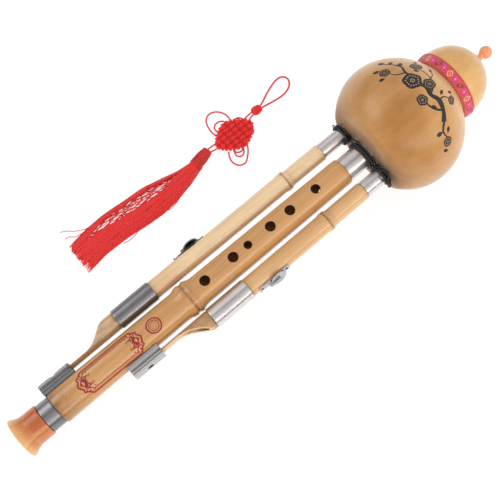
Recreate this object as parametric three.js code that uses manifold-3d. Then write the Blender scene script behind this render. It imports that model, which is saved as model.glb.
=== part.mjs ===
import * as THREE from 'three';
import { mergeVertices } from 'three/addons/utils/BufferGeometryUtils.js';
import Module from 'manifold-3d';

// Hulusi, a gourd flute with three bamboo pipes, lying on a table beside its red tassel.
// Millimetres. +X runs from the bell to the mouthpiece, +Y to the left drone, +Z up.
// The flute is built along its own X axis, with X = 0 at the bell's rim, and is then
// laid down so that the bell and the gourd both touch the table.

// Fits shared by all pieces
const fitGap = 0.3;
const cutRun = 1;

// Facets of round pieces
const gourdFacets = 36;
const cavityFacets = 20;
const mainFacets = 32;
const droneFacets = 20;
const smallFacets = 16;
const holeFacets = 12;
const screwFacets = 12;
const tinyFacets = 8;
const cordSides = 8;
const windingSides = 6;
const windingStepsPerTurn = 24;

// Gourd: a big bulb with a shallow flat recess for the pipes, a waist and a small bulb
const gourdBase = 321.5;
const gourdRecessRadius = 30.9;
const gourdRimWidth = 0.4;
const gourdWall = 4;
const bulbCentreFromBase = 32.5;
const bulbCentre = gourdBase + bulbCentreFromBase;
const bulbRadius = 50.5;
const bulbBaseReach = 43.3;
const bulbWaistReach = 47.4;
const bulbSpacing = 51;
const smallBulbCentre = bulbCentre + bulbSpacing;
const smallBulbRadius = 27.6;
const smallBulbReach = 29;
const waistFromBulb = 40.7;
const waistAlong = bulbCentre + waistFromBulb;
const waistRadius = 26.1;
const waistBlend = 3.6;
const bulbSteps = 14;
const smallBulbSteps = 8;

// Ribbon round the waist
const ribbonFromWaist = 1.9;
const ribbonWidth = 8.4;
const ribbonStart = waistAlong + ribbonFromWaist;
const ribbonEnd = ribbonStart + ribbonWidth;
const ribbonThickness = 0.7;
const ribbonSteps = 3;

// Mouthpiece: a bored tube with a ball at its tip
const mouthTubeRadius = 2.9;
const mouthTubeInGourd = 10;
const mouthTubeStart = smallBulbCentre + smallBulbReach - mouthTubeInGourd;
const mouthBoreRadius = 1.5;
const ballBeyondGourd = 9.55;
const ballCentre = smallBulbCentre + smallBulbReach + ballBeyondGourd;
const ballRadius = 4.95;
const ballSteps = 8;
const mouthCollarRadius = 3.6;
const mouthCollarLength = 1.2;

// Wax that seals the pipes inside the gourd
const waxThickness = 4;
const waxRadius = 31.4;
const waxClearance = 0.9;

// Main pipe. Places on the pipes are shares of the distance from the bell's rim to the gourd.
const pipeEnd = 32.3;
const pipeEndRadius = 12.45;
const pipeLowerRadius = 11.7;
const pipeUpperRadius = 10.6;
const pipeNodeShare = 0.4731;
const pipeNodeAlong = gourdBase * pipeNodeShare;
const pipeNodeRadius = 13.3;
const pipeNodeHalfLength = 4.6;
const pipeNodeRidge = 1.3;
const pipeNodeGroove = 0.5;
const pipeAboveNodeRadius = 11.5;
const pipeBoreRadius = 8;
const pipeShoulderToGourd = 22.2;
const pipeShoulder = gourdBase - pipeShoulderToGourd;
const pipeTenonLength = 15.5;
const pipeTenonBore = 6.5;
const pipeChamfer = 0.6;
const footTenonLength = 18.3;
const footTenonRadius = 10.05;

// Finger holes on the front and the thumb hole behind, from the bell upwards
const fingerHoles = [
  { alongShare: 0.5232, radius: 3.6 },
  { alongShare: 0.605, radius: 3.6 },
  { alongShare: 0.6479, radius: 2.8 },
  { alongShare: 0.7135, radius: 3.6 },
  { alongShare: 0.7714, radius: 3.6 },
  { alongShare: 0.8479, radius: 3.35 },
];
const thumbHole = { alongShare: 0.8694, radius: 3.2 };

// Metal sleeve and flared bell at the foot of the main pipe
const bellLength = 21;
const bellRimRadius = 15.5;
const bellLip = 1.5;
const bellLipFaceRadius = 14.9;
const bellThroatRadius = 12.45;
const bellFlareLength = 9.4;
const bellFlareShares = [[0.22, 0.7], [0.4, 0.46], [0.6, 0.2], [0.8, 0.06]];
const bellMouthRadius = 13.5;
const bellBoreRadius = 9.2;
const bellBoreDepth = 8;
const footSleeveWall = 0.9;

// Ferrule, reed and cord winding of the main pipe
const mainFerruleRadius = 9.52;
const ferruleWall = 0.9;
const ferruleInnerRun = 9.5;
const ferruleLip = 0.25;
const reedFlangeLength = 8;
const reedFlangeBeforeGourd = 3;
const reedFlangeStart = gourdBase - reedFlangeBeforeGourd;
const mainReed = { radius: 5.6, bore: 4.2, length: 34, plateWidth: 6.4, plateLength: 24 };
const droneReed = { radius: 3.8, bore: 2.6, length: 27, plateWidth: 4.4, plateLength: 18 };
const reedPlateThickness = 0.5;
const reedFlatDrop = 1.1;
const reedWindowMargin = 1.4;
const reedTongueMargin = 1.3;
const reedSlit = 0.25;
const reedEndWall = 1.5;
const windingCord = 1.9;
const windingPitch = 2.35;
const windingTurns = 2;

// Metal sleeve, tail and clip shared by both drones
const droneSleeveRadius = 7.92;
const droneSleeveWall = 0.7;
const dronePipeInSleeve = 15;
const tailInSleeve = 13;
const tailBoreRadius = 4.8;
const tailTongueThickness = 2.2;
const tailInClip = 7;
const droneBoreRadius = 4.6;
const droneTenonLength = 14;
const droneTenonBore = 3.5;
const droneNodeHalfLength = 3.2;
const droneNodeRise = 0.95;
const droneHoleRadius = 1.8;
const clipLength = 26.5;
const clipSheet = 0.7;
const clipHalfHeight = 6.2;
const clipInner = 13.6;
const clipOuter = 20.1;
const clipCorner = 2.2;
const clipHoleRadius = 2.5;
const clipPadSetback = 2.6;
const padThickness = 0.5;
const padHalfHeight = 5.4;
const padSteps = 6;
const clipScrewHead = 1.8;
const clipScrewHeadHeight = 0.9;
const clipScrewShank = 1;
const clipScrewDepth = 3.4;
const clipScrewSlot = 0.6;

// The two drones: where each part sits along the flute, and each one's own radii
const clipTabReach = 1.5;
const leftDrone = {
  side: 'left', turn: 0, gourdLateral: 22.4, tailLateral: 22.3,
  clipStart: pipeEnd - clipTabReach, clipTab: true, sleeveStartShare: 0.3198, sleeveEndShare: 0.4233,
  nodeShare: 0.8152, ferruleToGourd: 24.7, ferruleRadius: 5.95,
  lowerRadius: 7.12, upperRadius: 6.65, knobShare: 0.5543,
  scoopShare: 0.2208, scoopStartShare: 0.5, scoopEndShare: 0.45, windingStartTurnShare: 0.5,
};
const rightDrone = {
  side: 'right', turn: Math.PI, gourdLateral: 20.9, tailLateral: 22.3,
  clipShare: 0.2722, clipTab: false, sleeveStartShare: 0.483, sleeveEndShare: 0.5869,
  nodeShare: 0.8221, ferruleToGourd: 21.6, ferruleRadius: 6.4,
  lowerRadius: 7.35, upperRadius: 6.8, knobShare: 0.6541,
  scoopShare: 0.3919, scoopStartShare: 0.55, scoopEndShare: 0.12, windingStartTurnShare: 0.25,
};
const drones = [leftDrone, rightDrone];
for (const drone of drones) {
  drone.clipStart ??= gourdBase * drone.clipShare;
  drone.sleeveStart = gourdBase * drone.sleeveStartShare;
  drone.sleeveEnd = gourdBase * drone.sleeveEndShare;
  drone.nodeAlong = gourdBase * drone.nodeShare;
  drone.knobAlong = gourdBase * drone.knobShare;
  drone.scoopStart = gourdBase * drone.scoopShare;
  drone.ferruleStart = gourdBase - drone.ferruleToGourd;
}
const tailLateralShare = 0.3421;

// Sliding switch on the outer side of each drone
const knobTravel = 7;
const knobRadius = 6.9;
const knobBodyRadius = 5.9;
const knobRidges = 16;
const knobRidgeDepth = 0.35;
const knobBodyHeight = 1.2;
const knobRimHeight = 0.8;
const knobStemRadius = 1.2;
const plateThickness = 0.6;
const plateHalfWidth = 4;
const plateLength = 27.8;
const plateFoot = 3.6;
const plateRamp = 1.2;
const plateRise = 1.4;
const plateKnobShare = 0.596;
const plateCurlRadius = 0.9;
const plateCurlSteps = 5;
const slotHalfWidth = 1.6;
const padLength = 7;
const padHeight = 1.1;
const padSweep = 1.1;
const padArcSteps = 6;
const plateScrewHead = 1.1;
const plateScrewHeadHeight = 0.5;
const plateScrewShank = 0.6;
const plateScrewDepth = 1.2;
const plateScrewFromEnd = 2.4;

// Tassel beside the flute: cords, knots, wrapped head and skirt, laid on the table.
// A route's point is its place on the table and, where the cord is lifted, by how much.
const loopCord = 1.6;
const earCord = 1.4;
const cordLift = 0.1;
const hangingLoopRoute = [
  [79.2, 98.4, 1.9], [82.6, 99.9, 1.2], [87, 102.2, 0.3], [92, 104.7], [98.5, 107.2], [104, 108.9],
  [109.2, 109.1], [112.6, 106.9], [113.5, 103.4], [111.6, 99.7], [107.5, 96.7], [101.5, 95.1],
  [94.5, 95.2], [88, 95.9, 0.3], [83, 96.2, 1.2], [79.2, 96.3, 1.9],
];
const earRoutes = {
  tassel_ear_big: [
    [52.8, 103.7], [53.9, 107.6], [53, 113], [50, 117.4], [45.5, 119.8], [40.8, 119.2],
    [37.2, 115.6], [35.4, 110.2], [34.9, 105.4], [35.5, 101.35],
  ],
  tassel_ear_left: [[48.5, 104.5], [48.3, 107.6], [45, 109.7], [41, 109.3], [38.6, 106.8], [38.75, 103.1]],
  tassel_ear_right: [
    [34.2, 83.8], [31.4, 78.9], [31, 73.6], [33.4, 69.2], [38.4, 68], [43.2, 71.2],
    [47.4, 75.6], [49.65, 79.25],
  ],
  tassel_ear_front: [[37.9, 81.3], [36.9, 77.4], [39.4, 74.5], [43.2, 75.6], [45.5, 79.3]],
};
const upperCordRoutes = {
  tassel_upper_cord_left: [[69.7, 98.4, 1.9], [66.5, 98.4, 1.4], [62.1, 97.9, 1]],
  tassel_upper_cord_right: [[69.8, 96, 1.9], [66.5, 95.5, 1.4], [63.5, 94.4, 1]],
};
const lowerCordRoutes = {
  tassel_lower_cord_left: [[30.8, 95.6, 1], [26, 95.4, 2], [20.75, 94.9, 3]],
  tassel_lower_cord_right: [[30.2, 91.6, 1], [26, 91.5, 2], [21.5, 92, 3]],
};
const cordStepShare = 2.2;
const buttonCentre = [74.4, 97.2];
const buttonLength = 9.4;
const buttonWidth = 7.6;
const buttonHeight = 6.4;
const buttonFacets = 12;
const knotCentre = [47, 92];
const knotHalfLength = 16.4;
const knotHalfWidth = 12.2;
const knotHeight = 5;
const knotTurn = Math.PI / 4;
const knotCells = 5;
const knotCellSteps = 2;
const knotBump = 0.7;
const knotEdge = 1.3;
const headRoute = [[20.6, 93.4], [4.9, 89.9]];
const headRadius = 5.2;
const headBands = 4;
const headBandRise = 0.45;
const skirtStations = [
  { along: 3.55, lateral: 89.9, halfWidth: 5.6, height: 9.6 },
  { along: -7.5, lateral: 88.4, halfWidth: 8, height: 9.2 },
  { along: -22.7, lateral: 88.1, halfWidth: 11.2, height: 8.6 },
  { along: -38, lateral: 89, halfWidth: 13.4, height: 8 },
  { along: -55, lateral: 89.5, halfWidth: 13.3, height: 7.2 },
  { along: -73, lateral: 91, halfWidth: 13.2, height: 6.4 },
  { along: -93, lateral: 90.2, halfWidth: 12.6, height: 5.6 },
  { along: -110.5, lateral: 86.8, halfWidth: 12.6, height: 4.6 },
];
const skirtFlutes = 9;
const skirtFluteDepthShare = 0.07;
const skirtSides = 36;

const bambooPale = { color: 0xddbb8a, roughness: 0.42, metalness: 0 };
const bambooMain = { color: 0xc99559, roughness: 0.38, metalness: 0 };
const bambooRight = { color: 0xcb9d66, roughness: 0.42, metalness: 0 };
const gourdSkin = { color: 0xc28c4c, roughness: 0.3, metalness: 0 };
const silver = { color: 0xb4b0ae, roughness: 0.28, metalness: 1 };
const darkSteel = { color: 0x6f6a66, roughness: 0.4, metalness: 1 };
const brass = { color: 0xb8944a, roughness: 0.35, metalness: 1 };
const amberPlastic = { color: 0xcb6a35, roughness: 0.25, metalness: 0 };
const orangePlastic = { color: 0xf18a58, roughness: 0.3, metalness: 0 };
const blackCord = { color: 0x15171a, roughness: 0.45, metalness: 0 };
const ribbonWeave = { color: 0xd4462c, roughness: 0.75, metalness: 0 };
const beeswax = { color: 0x4a3320, roughness: 0.6, metalness: 0 };
const darkRubber = { color: 0x231c18, roughness: 0.7, metalness: 0 };
const redCord = { color: 0xe0242c, roughness: 0.65, metalness: 0 };

const wasm = await Module();
wasm.setup();

// Geometry with shared vertices and no collapsed triangles
function welded(geometry) {
  geometry.deleteAttribute('normal');
  geometry.deleteAttribute('uv');
  const merged = mergeVertices(geometry);
  const index = merged.index.array;
  const kept = [];
  for (let i = 0; i < index.length; i += 3) {
    const [a, b, c] = [index[i], index[i + 1], index[i + 2]];
    if (a !== b && b !== c && c !== a) kept.push(a, b, c);
  }
  merged.setIndex(kept);
  return merged;
}

function toSolid(geometry) {
  const closed = welded(geometry);
  const vertProperties = new Float32Array(closed.attributes.position.array);
  const triVerts = new Uint32Array(closed.index.array);
  return new wasm.Manifold(new wasm.Mesh({ numProp: 3, vertProperties, triVerts }));
}

function toGeometry(solid) {
  const mesh = solid.getMesh();
  const geometry = new THREE.BufferGeometry();
  geometry.setAttribute('position', new THREE.BufferAttribute(mesh.vertProperties, 3));
  geometry.setIndex(new THREE.BufferAttribute(mesh.triVerts, 1));
  return geometry;
}

function cut(geometry, cutters) {
  let solid = toSolid(geometry);
  for (const cutter of cutters) solid = solid.subtract(toSolid(cutter));
  return toGeometry(solid);
}

// Solid of revolution round the X axis from [along, radius] stations
function turned(stations, facets) {
  const profile = stations.map(([along, radius]) => new THREE.Vector2(radius, along));
  if (stations[0][1] > 0) profile.push(profile[0].clone());
  const geometry = new THREE.LatheGeometry(profile, facets);
  geometry.rotateZ(-Math.PI / 2);
  return geometry;
}

function tube(start, end, radius, bore, facets) {
  return turned([[start, bore], [start, radius], [end, radius], [end, bore]], facets);
}

function rod(start, end, radius, facets) {
  return turned([[start, 0], [start, radius], [end, radius], [end, 0]], facets);
}

// Rod that stands on the Y axis at a place along the flute, from one height to another
function standing(along, low, high, radius, facets) {
  const geometry = rod(low, high, radius, facets);
  geometry.rotateZ(Math.PI / 2);
  geometry.translate(along, 0, 0);
  return geometry;
}

// Outline of [x, y] points extruded along Z, centred on zero
function slab(outline, width) {
  const shape = new THREE.Shape(outline.map(([x, y]) => new THREE.Vector2(x, y)));
  const geometry = new THREE.ExtrudeGeometry(shape, { depth: width, bevelEnabled: false, steps: 1 });
  geometry.translate(0, 0, -width / 2);
  return geometry;
}

function block(lowX, highX, lowY, highY, lowZ, highZ) {
  const geometry = new THREE.BoxGeometry(highX - lowX, highY - lowY, highZ - lowZ);
  geometry.translate((lowX + highX) / 2, (lowY + highY) / 2, (lowZ + highZ) / 2);
  return geometry;
}

function roundSection(radius, sides) {
  const points = [];
  for (let i = 0; i < sides; i += 1) {
    const angle = (2 * Math.PI * i) / sides;
    points.push(new THREE.Vector2(radius * Math.cos(angle), radius * Math.sin(angle)));
  }
  return new THREE.Shape(points);
}

function tubeAlong(curve, radius, sides, steps) {
  return new THREE.ExtrudeGeometry(roundSection(radius, sides), { extrudePath: curve, steps });
}

function addPiece(group, name, geometry, finish) {
  const mesh = new THREE.Mesh(welded(geometry), new THREE.MeshStandardMaterial(finish));
  mesh.name = name;
  group.add(mesh);
}

// Gourd
function bulbRadiusAt(along, inset) {
  const reach = (along < bulbCentre ? bulbBaseReach : bulbWaistReach) - inset;
  const share = (along - bulbCentre) / reach;
  return (bulbRadius - inset) * Math.sqrt(Math.max(0, 1 - share * share));
}

function smallBulbRadiusAt(along, inset) {
  const share = (along - smallBulbCentre) / (smallBulbReach - inset);
  return (smallBulbRadius - inset) * Math.sqrt(Math.max(0, 1 - share * share));
}

function bulbAngleAt(along, inset) {
  const reach = (along < bulbCentre ? bulbBaseReach : bulbWaistReach) - inset;
  return Math.asin((along - bulbCentre) / reach);
}

// Stations of the bulbs from one place to another, closer together where they curve more
function bulbStations(from, to, steps, inset) {
  const first = bulbAngleAt(from, inset);
  const last = bulbAngleAt(to, inset);
  const stations = [];
  for (let i = 0; i <= steps; i += 1) {
    const angle = first + ((last - first) * i) / steps;
    const reach = (angle < 0 ? bulbBaseReach : bulbWaistReach) - inset;
    const along = bulbCentre + reach * Math.sin(angle);
    stations.push([along, bulbRadiusAt(along, inset)]);
  }
  return stations;
}

function smallBulbStations(from, steps, inset) {
  const reach = smallBulbReach - inset;
  const first = Math.asin((from - smallBulbCentre) / reach);
  const stations = [];
  for (let i = 0; i <= steps; i += 1) {
    const angle = first + ((Math.PI / 2 - first) * i) / steps;
    stations.push([smallBulbCentre + reach * Math.sin(angle), (smallBulbRadius - inset) * Math.cos(angle)]);
  }
  stations[steps][1] = 0;
  return stations;
}

function gourdStations() {
  const rimRadius = gourdRecessRadius + gourdRimWidth;
  const rimAlong = bulbCentre - bulbBaseReach * Math.sqrt(1 - (rimRadius / bulbRadius) ** 2);
  const stations = [[gourdBase, 0], [gourdBase, gourdRecessRadius]];
  stations.push(...bulbStations(rimAlong, waistAlong - waistBlend, bulbSteps, 0), [waistAlong, waistRadius]);
  stations.push(...smallBulbStations(ribbonStart, smallBulbSteps, 0));
  return stations;
}

function cavityStations() {
  const inset = gourdWall;
  const start = gourdBase + gourdWall;
  const stations = [[start, 0]];
  stations.push(...bulbStations(start, waistAlong - waistBlend, Math.round(bulbSteps / 2), inset));
  stations.push([waistAlong, waistRadius - inset]);
  stations.push(...smallBulbStations(ribbonStart, Math.round(smallBulbSteps / 2), inset));
  return stations;
}

// Matrix that stands a drone's own axis beside the main pipe, with +Y pointing outwards
function dronePlace(drone) {
  const along = gourdBase;
  const lean = Math.atan((drone.gourdLateral - drone.tailLateral) / (along - along * tailLateralShare));
  const place = new THREE.Matrix4().makeRotationX(drone.turn);
  place.multiply(new THREE.Matrix4().makeTranslation(along, drone.gourdLateral, 0));
  place.multiply(new THREE.Matrix4().makeRotationZ(lean));
  place.multiply(new THREE.Matrix4().makeTranslation(-along, 0, 0));
  return place;
}

function gourdShell() {
  const baseHoleStart = gourdBase - cutRun;
  const baseHoleEnd = gourdBase + ferruleInnerRun + cutRun;
  const cutters = [turned(cavityStations(), cavityFacets)];
  cutters.push(rod(baseHoleStart, baseHoleEnd, mainFerruleRadius + fitGap, mainFacets));
  for (const drone of drones) {
    const hole = rod(baseHoleStart, baseHoleEnd, drone.ferruleRadius + fitGap, droneFacets);
    hole.applyMatrix4(dronePlace(drone));
    cutters.push(hole);
  }
  const tipEnd = smallBulbCentre + smallBulbReach;
  cutters.push(rod(tipEnd - 2 * gourdWall, tipEnd + cutRun, mouthTubeRadius + fitGap, smallFacets));
  return cut(turned(gourdStations(), gourdFacets), cutters);
}

function waistRibbon() {
  const outer = [];
  const inner = [];
  for (let i = 0; i <= ribbonSteps; i += 1) {
    const along = ribbonStart + ((ribbonEnd - ribbonStart) * i) / ribbonSteps;
    const radius = smallBulbRadiusAt(along, 0) + fitGap;
    inner.push([along, radius]);
    outer.push([along, radius + ribbonThickness]);
  }
  return turned([...outer, ...inner.reverse()], gourdFacets);
}

function mouthpiece() {
  const gourdTip = smallBulbCentre + smallBulbReach;
  const collarStart = gourdTip + fitGap;
  const neckAngle = Math.asin(mouthTubeRadius / ballRadius);
  const boreAngle = Math.asin(mouthBoreRadius / ballRadius);
  const stations = [[mouthTubeStart, mouthBoreRadius], [mouthTubeStart, mouthTubeRadius]];
  stations.push([collarStart, mouthTubeRadius], [collarStart, mouthCollarRadius]);
  stations.push([collarStart + mouthCollarLength, mouthTubeRadius]);
  for (let i = 0; i <= ballSteps; i += 1) {
    const angle = neckAngle + ((Math.PI - boreAngle - neckAngle) * i) / ballSteps;
    stations.push([ballCentre - ballRadius * Math.cos(angle), ballRadius * Math.sin(angle)]);
  }
  return turned(stations, smallFacets);
}

// The wax lies on the base, or further in where the gourd is too narrow for it there
function waxStart() {
  const share = (waxRadius + waxClearance) / (bulbRadius - gourdWall);
  const wideEnough = bulbCentre - (bulbBaseReach - gourdWall) * Math.sqrt(Math.max(0, 1 - share * share));
  return Math.max(gourdBase + gourdWall + fitGap, wideEnough);
}

function waxSeal() {
  const start = waxStart();
  const end = start + waxThickness;
  const holes = [rod(start - cutRun, end + cutRun, mainFerruleRadius + fitGap, mainFacets)];
  for (const drone of drones) {
    const hole = rod(start - cutRun, end + cutRun, drone.ferruleRadius + fitGap, droneFacets);
    hole.applyMatrix4(dronePlace(drone));
    holes.push(hole);
  }
  return cut(rod(start, end, waxRadius, mainFacets), holes);
}

// Ferrule, reed tube, reed plate and cord winding at the gourd end of a pipe
function ferrule(start, radius, facets) {
  const end = gourdBase + ferruleInnerRun;
  const bore = radius - ferruleWall;
  const lipStart = start + ferruleLip;
  return turned([[start, bore], [start, radius - ferruleLip], [lipStart, radius], [end, radius], [end, bore]], facets);
}

function reedFlatHeight(reed) {
  return reed.radius - reedFlatDrop;
}

function reedPlateStart() {
  return gourdBase + ferruleInnerRun + fitGap;
}

function reedTube(ferruleRadius, reed, facets) {
  const flangeRadius = ferruleRadius - ferruleWall - fitGap;
  const flangeEnd = reedFlangeStart + reedFlangeLength;
  const end = flangeEnd + reed.length;
  const boreEnd = end - reedEndWall;
  const body = turned([
    [reedFlangeStart, reed.bore], [reedFlangeStart, flangeRadius], [flangeEnd, flangeRadius],
    [flangeEnd, reed.radius], [end, reed.radius], [end, 0], [boreEnd, 0], [boreEnd, reed.bore],
  ], facets);
  const flatStart = reedPlateStart() - fitGap;
  const flatEnd = flatStart + reed.plateLength + 2 * fitGap;
  const flat = reedFlatHeight(reed);
  const half = reed.radius + cutRun;
  const window = reed.plateWidth / 2 - reedWindowMargin;
  const windowStart = flatStart + 2 * reedWindowMargin;
  const windowEnd = flatEnd - 2 * reedWindowMargin;
  return cut(body, [
    block(flatStart, flatEnd, -half, half, flat, half),
    block(windowStart, windowEnd, -window, window, 0, half),
  ]);
}

function reedPlate(reed) {
  const start = reedPlateStart();
  const end = start + reed.plateLength;
  const half = reed.plateWidth / 2;
  const tongueRoot = half - reedTongueMargin;
  const tongueStart = start + 2 * reedTongueMargin;
  const tongueTip = end - 2 * reedTongueMargin;
  const plate = slab([[start, -half], [end, -half], [end, half], [start, half]], reedPlateThickness);
  const slit = slab([
    [tongueStart, -tongueRoot], [tongueTip, 0], [tongueStart, tongueRoot],
    [tongueStart, tongueRoot - reedSlit], [tongueTip - 2 * reedTongueMargin, 0],
    [tongueStart, reedSlit - tongueRoot],
  ], reedPlateThickness + cutRun);
  const geometry = cut(plate, [slit]);
  geometry.translate(0, 0, reedFlatHeight(reed) + fitGap + reedPlateThickness / 2);
  return geometry;
}

// Helix round a ferrule whose ends run straight for one cord diameter
class WindingCurve extends THREE.Curve {
  constructor(start, radius, startTurnShare) {
    super();
    this.start = start;
    this.radius = radius;
    this.startAngle = 2 * Math.PI * startTurnShare;
    this.turnLength = 2 * Math.PI * radius;
    this.length = windingTurns * this.turnLength + 2 * windingCord;
  }

  helixPoint(turns) {
    const angle = this.startAngle + 2 * Math.PI * turns;
    return new THREE.Vector3(
      this.start + windingPitch * turns,
      this.radius * Math.cos(angle),
      this.radius * Math.sin(angle),
    );
  }

  helixDirection(turns) {
    const angle = this.startAngle + 2 * Math.PI * turns;
    const direction = new THREE.Vector3(
      windingPitch,
      -this.turnLength * Math.sin(angle),
      this.turnLength * Math.cos(angle),
    );
    return direction.normalize();
  }

  getPoint(share) {
    const travelled = share * this.length - windingCord;
    const turns = THREE.MathUtils.clamp(travelled / this.turnLength, 0, windingTurns);
    const overrun = travelled - turns * this.turnLength;
    return this.helixPoint(turns).addScaledVector(this.helixDirection(turns), overrun);
  }
}

function leastGapToItself(curve) {
  const samples = windingStepsPerTurn * (windingTurns + 1);
  const points = curve.getSpacedPoints(samples);
  const apart = Math.round(windingStepsPerTurn / 2);
  let least = Infinity;
  for (let i = 0; i < points.length; i += 1) {
    for (let j = i + apart; j < points.length; j += 1) {
      least = Math.min(least, points[i].distanceTo(points[j]) - windingCord);
    }
  }
  return least;
}

function cordWinding(name, ferruleRadius, startTurnShare) {
  const wound = windingTurns * windingPitch + windingCord / 2;
  const start = gourdBase - fitGap - wound;
  const radius = ferruleRadius + fitGap + windingCord / 2;
  const curve = new WindingCurve(start, radius, startTurnShare);
  console.log(`${name}: least gap of the cord to itself ${leastGapToItself(curve).toFixed(2)} mm`);
  const steps = windingStepsPerTurn * windingTurns + 2;
  return tubeAlong(curve, windingCord / 2, windingSides, steps);
}

// Main pipe with its foot, node ring, finger holes and thumb hole
function mainPipe() {
  const footStart = pipeEnd - footTenonLength;
  const tenonEnd = pipeShoulder + pipeTenonLength;
  const tenonRadius = mainFerruleRadius - ferruleWall - fitGap;
  const boreEnd = pipeShoulder - pipeTenonBore / 2;
  const ridge = pipeNodeHalfLength - pipeNodeRidge;
  const outer = [
    [footStart, footTenonRadius], [pipeEnd, footTenonRadius], [pipeEnd, pipeEndRadius - pipeChamfer],
    [pipeEnd + pipeChamfer, pipeEndRadius],
    [pipeNodeAlong - 2 * pipeNodeHalfLength, pipeLowerRadius],
    [pipeNodeAlong - pipeNodeHalfLength, (pipeLowerRadius + pipeNodeRadius) / 2],
    [pipeNodeAlong - ridge / 2, pipeNodeRadius],
    [pipeNodeAlong, pipeNodeRadius - pipeNodeGroove],
    [pipeNodeAlong + ridge / 2, pipeNodeRadius],
    [pipeNodeAlong + pipeNodeHalfLength, (pipeAboveNodeRadius + pipeNodeRadius) / 2],
    [pipeNodeAlong + 2 * pipeNodeHalfLength, pipeAboveNodeRadius],
    [pipeShoulder - pipeChamfer, pipeUpperRadius], [pipeShoulder, pipeUpperRadius - pipeChamfer],
    [pipeShoulder, tenonRadius], [tenonEnd, tenonRadius],
  ];
  const inner = [
    [tenonEnd, pipeTenonBore], [pipeShoulder, pipeTenonBore], [boreEnd, pipeBoreRadius],
    [footStart, pipeBoreRadius],
  ];
  const cutters = [];
  for (const hole of fingerHoles) {
    const drill = standing(gourdBase * hole.alongShare, 0, pipeNodeRadius + cutRun, hole.radius, holeFacets);
    drill.rotateX(Math.PI / 2);
    cutters.push(drill);
  }
  const thumbAlong = gourdBase * thumbHole.alongShare;
  const thumbDrill = standing(thumbAlong, 0, pipeNodeRadius + cutRun, thumbHole.radius, holeFacets);
  thumbDrill.rotateX(-Math.PI / 2);
  cutters.push(thumbDrill);
  for (const drone of drones) {
    const hole = clipScrewShank + fitGap;
    const drill = standing(clipScrewAlong(drone), 0, pipeEndRadius + cutRun, hole, smallFacets);
    drill.applyMatrix4(new THREE.Matrix4().makeRotationX(drone.turn));
    cutters.push(drill);
  }
  return cut(turned([...outer, ...inner], mainFacets), cutters);
}

function bell() {
  const socketRadius = footTenonRadius + fitGap;
  const socketDepth = bellLength - (pipeEnd - footTenonLength) + fitGap;
  const socketEnd = bellLength - socketDepth;
  const rise = bellRimRadius - bellThroatRadius;
  const outer = [[0, bellMouthRadius], [0, bellLipFaceRadius], [bellLip, bellRimRadius]];
  for (const [alongShare, riseShare] of bellFlareShares) {
    const along = bellLip + (bellFlareLength - bellLip) * alongShare;
    outer.push([along, bellThroatRadius + rise * riseShare]);
  }
  outer.push([bellFlareLength, bellThroatRadius], [bellLength, bellThroatRadius]);
  const inner = [
    [bellLength, socketRadius], [socketEnd, socketRadius], [socketEnd, bellBoreRadius],
    [bellBoreDepth, bellBoreRadius], [bellBoreDepth / 2, (bellBoreRadius + bellMouthRadius) / 2],
  ];
  return turned([...outer, ...inner], mainFacets);
}

function footSleeveRadius() {
  return footTenonRadius + fitGap + footSleeveWall;
}

function footSleeve() {
  const bore = footTenonRadius + fitGap;
  return tube(bellLength + fitGap, pipeEnd - fitGap, footSleeveRadius(), bore, mainFacets);
}

// Clip on the main pipe that holds the tail of a drone, with +Y pointing outwards
function clipScrewAlong(drone) {
  return drone.clipStart + clipLength / 2;
}

function roundedRectangle(lowY, highY, half, corner) {
  const shape = new THREE.Shape();
  shape.moveTo(lowY, -half);
  shape.lineTo(highY - corner, -half);
  shape.quadraticCurveTo(highY, -half, highY, corner - half);
  shape.lineTo(highY, half - corner);
  shape.quadraticCurveTo(highY, half, highY - corner, half);
  shape.lineTo(lowY, half);
  return shape.getPoints(4);
}

// Outline across the flute, in outward and upward distances, extruded along the flute
function bar(outline, start, end) {
  const shape = new THREE.Shape(outline);
  const geometry = new THREE.ExtrudeGeometry(shape, { depth: end - start, bevelEnabled: false, steps: 1 });
  const toFlute = new THREE.Matrix4().makeBasis(
    new THREE.Vector3(0, 1, 0),
    new THREE.Vector3(0, 0, 1),
    new THREE.Vector3(1, 0, 0),
  );
  geometry.applyMatrix4(toFlute);
  geometry.translate(start, 0, 0);
  return geometry;
}

function clip(drone) {
  const start = drone.clipStart;
  const end = start + clipLength;
  const innerHalf = clipHalfHeight - clipSheet;
  const shell = bar(roundedRectangle(clipInner, clipOuter, clipHalfHeight, clipCorner), start, end);
  const inside = roundedRectangle(clipInner + clipSheet, clipOuter - clipSheet, innerHalf, clipCorner - clipSheet);
  const screwAlong = clipScrewAlong(drone);
  let solid = toSolid(shell);
  solid = solid.subtract(toSolid(bar(inside, start + clipSheet, end + cutRun)));
  const wallHole = standing(screwAlong, clipOuter - clipCorner, clipOuter + cutRun, clipHoleRadius, holeFacets);
  solid = solid.subtract(toSolid(wallHole));
  const shankRadius = clipScrewShank + fitGap;
  const screwHole = standing(screwAlong, clipInner - cutRun, clipInner + clipCorner, shankRadius, smallFacets);
  solid = solid.subtract(toSolid(screwHole));
  if (drone.clipTab) {
    const tabHalf = clipHalfHeight / 2;
    const tabLow = footSleeveRadius() + fitGap;
    const tab = block(start, start + clipSheet, tabLow, clipInner + clipSheet, -tabHalf, tabHalf);
    solid = solid.add(toSolid(tab));
  }
  return toGeometry(solid);
}

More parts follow.
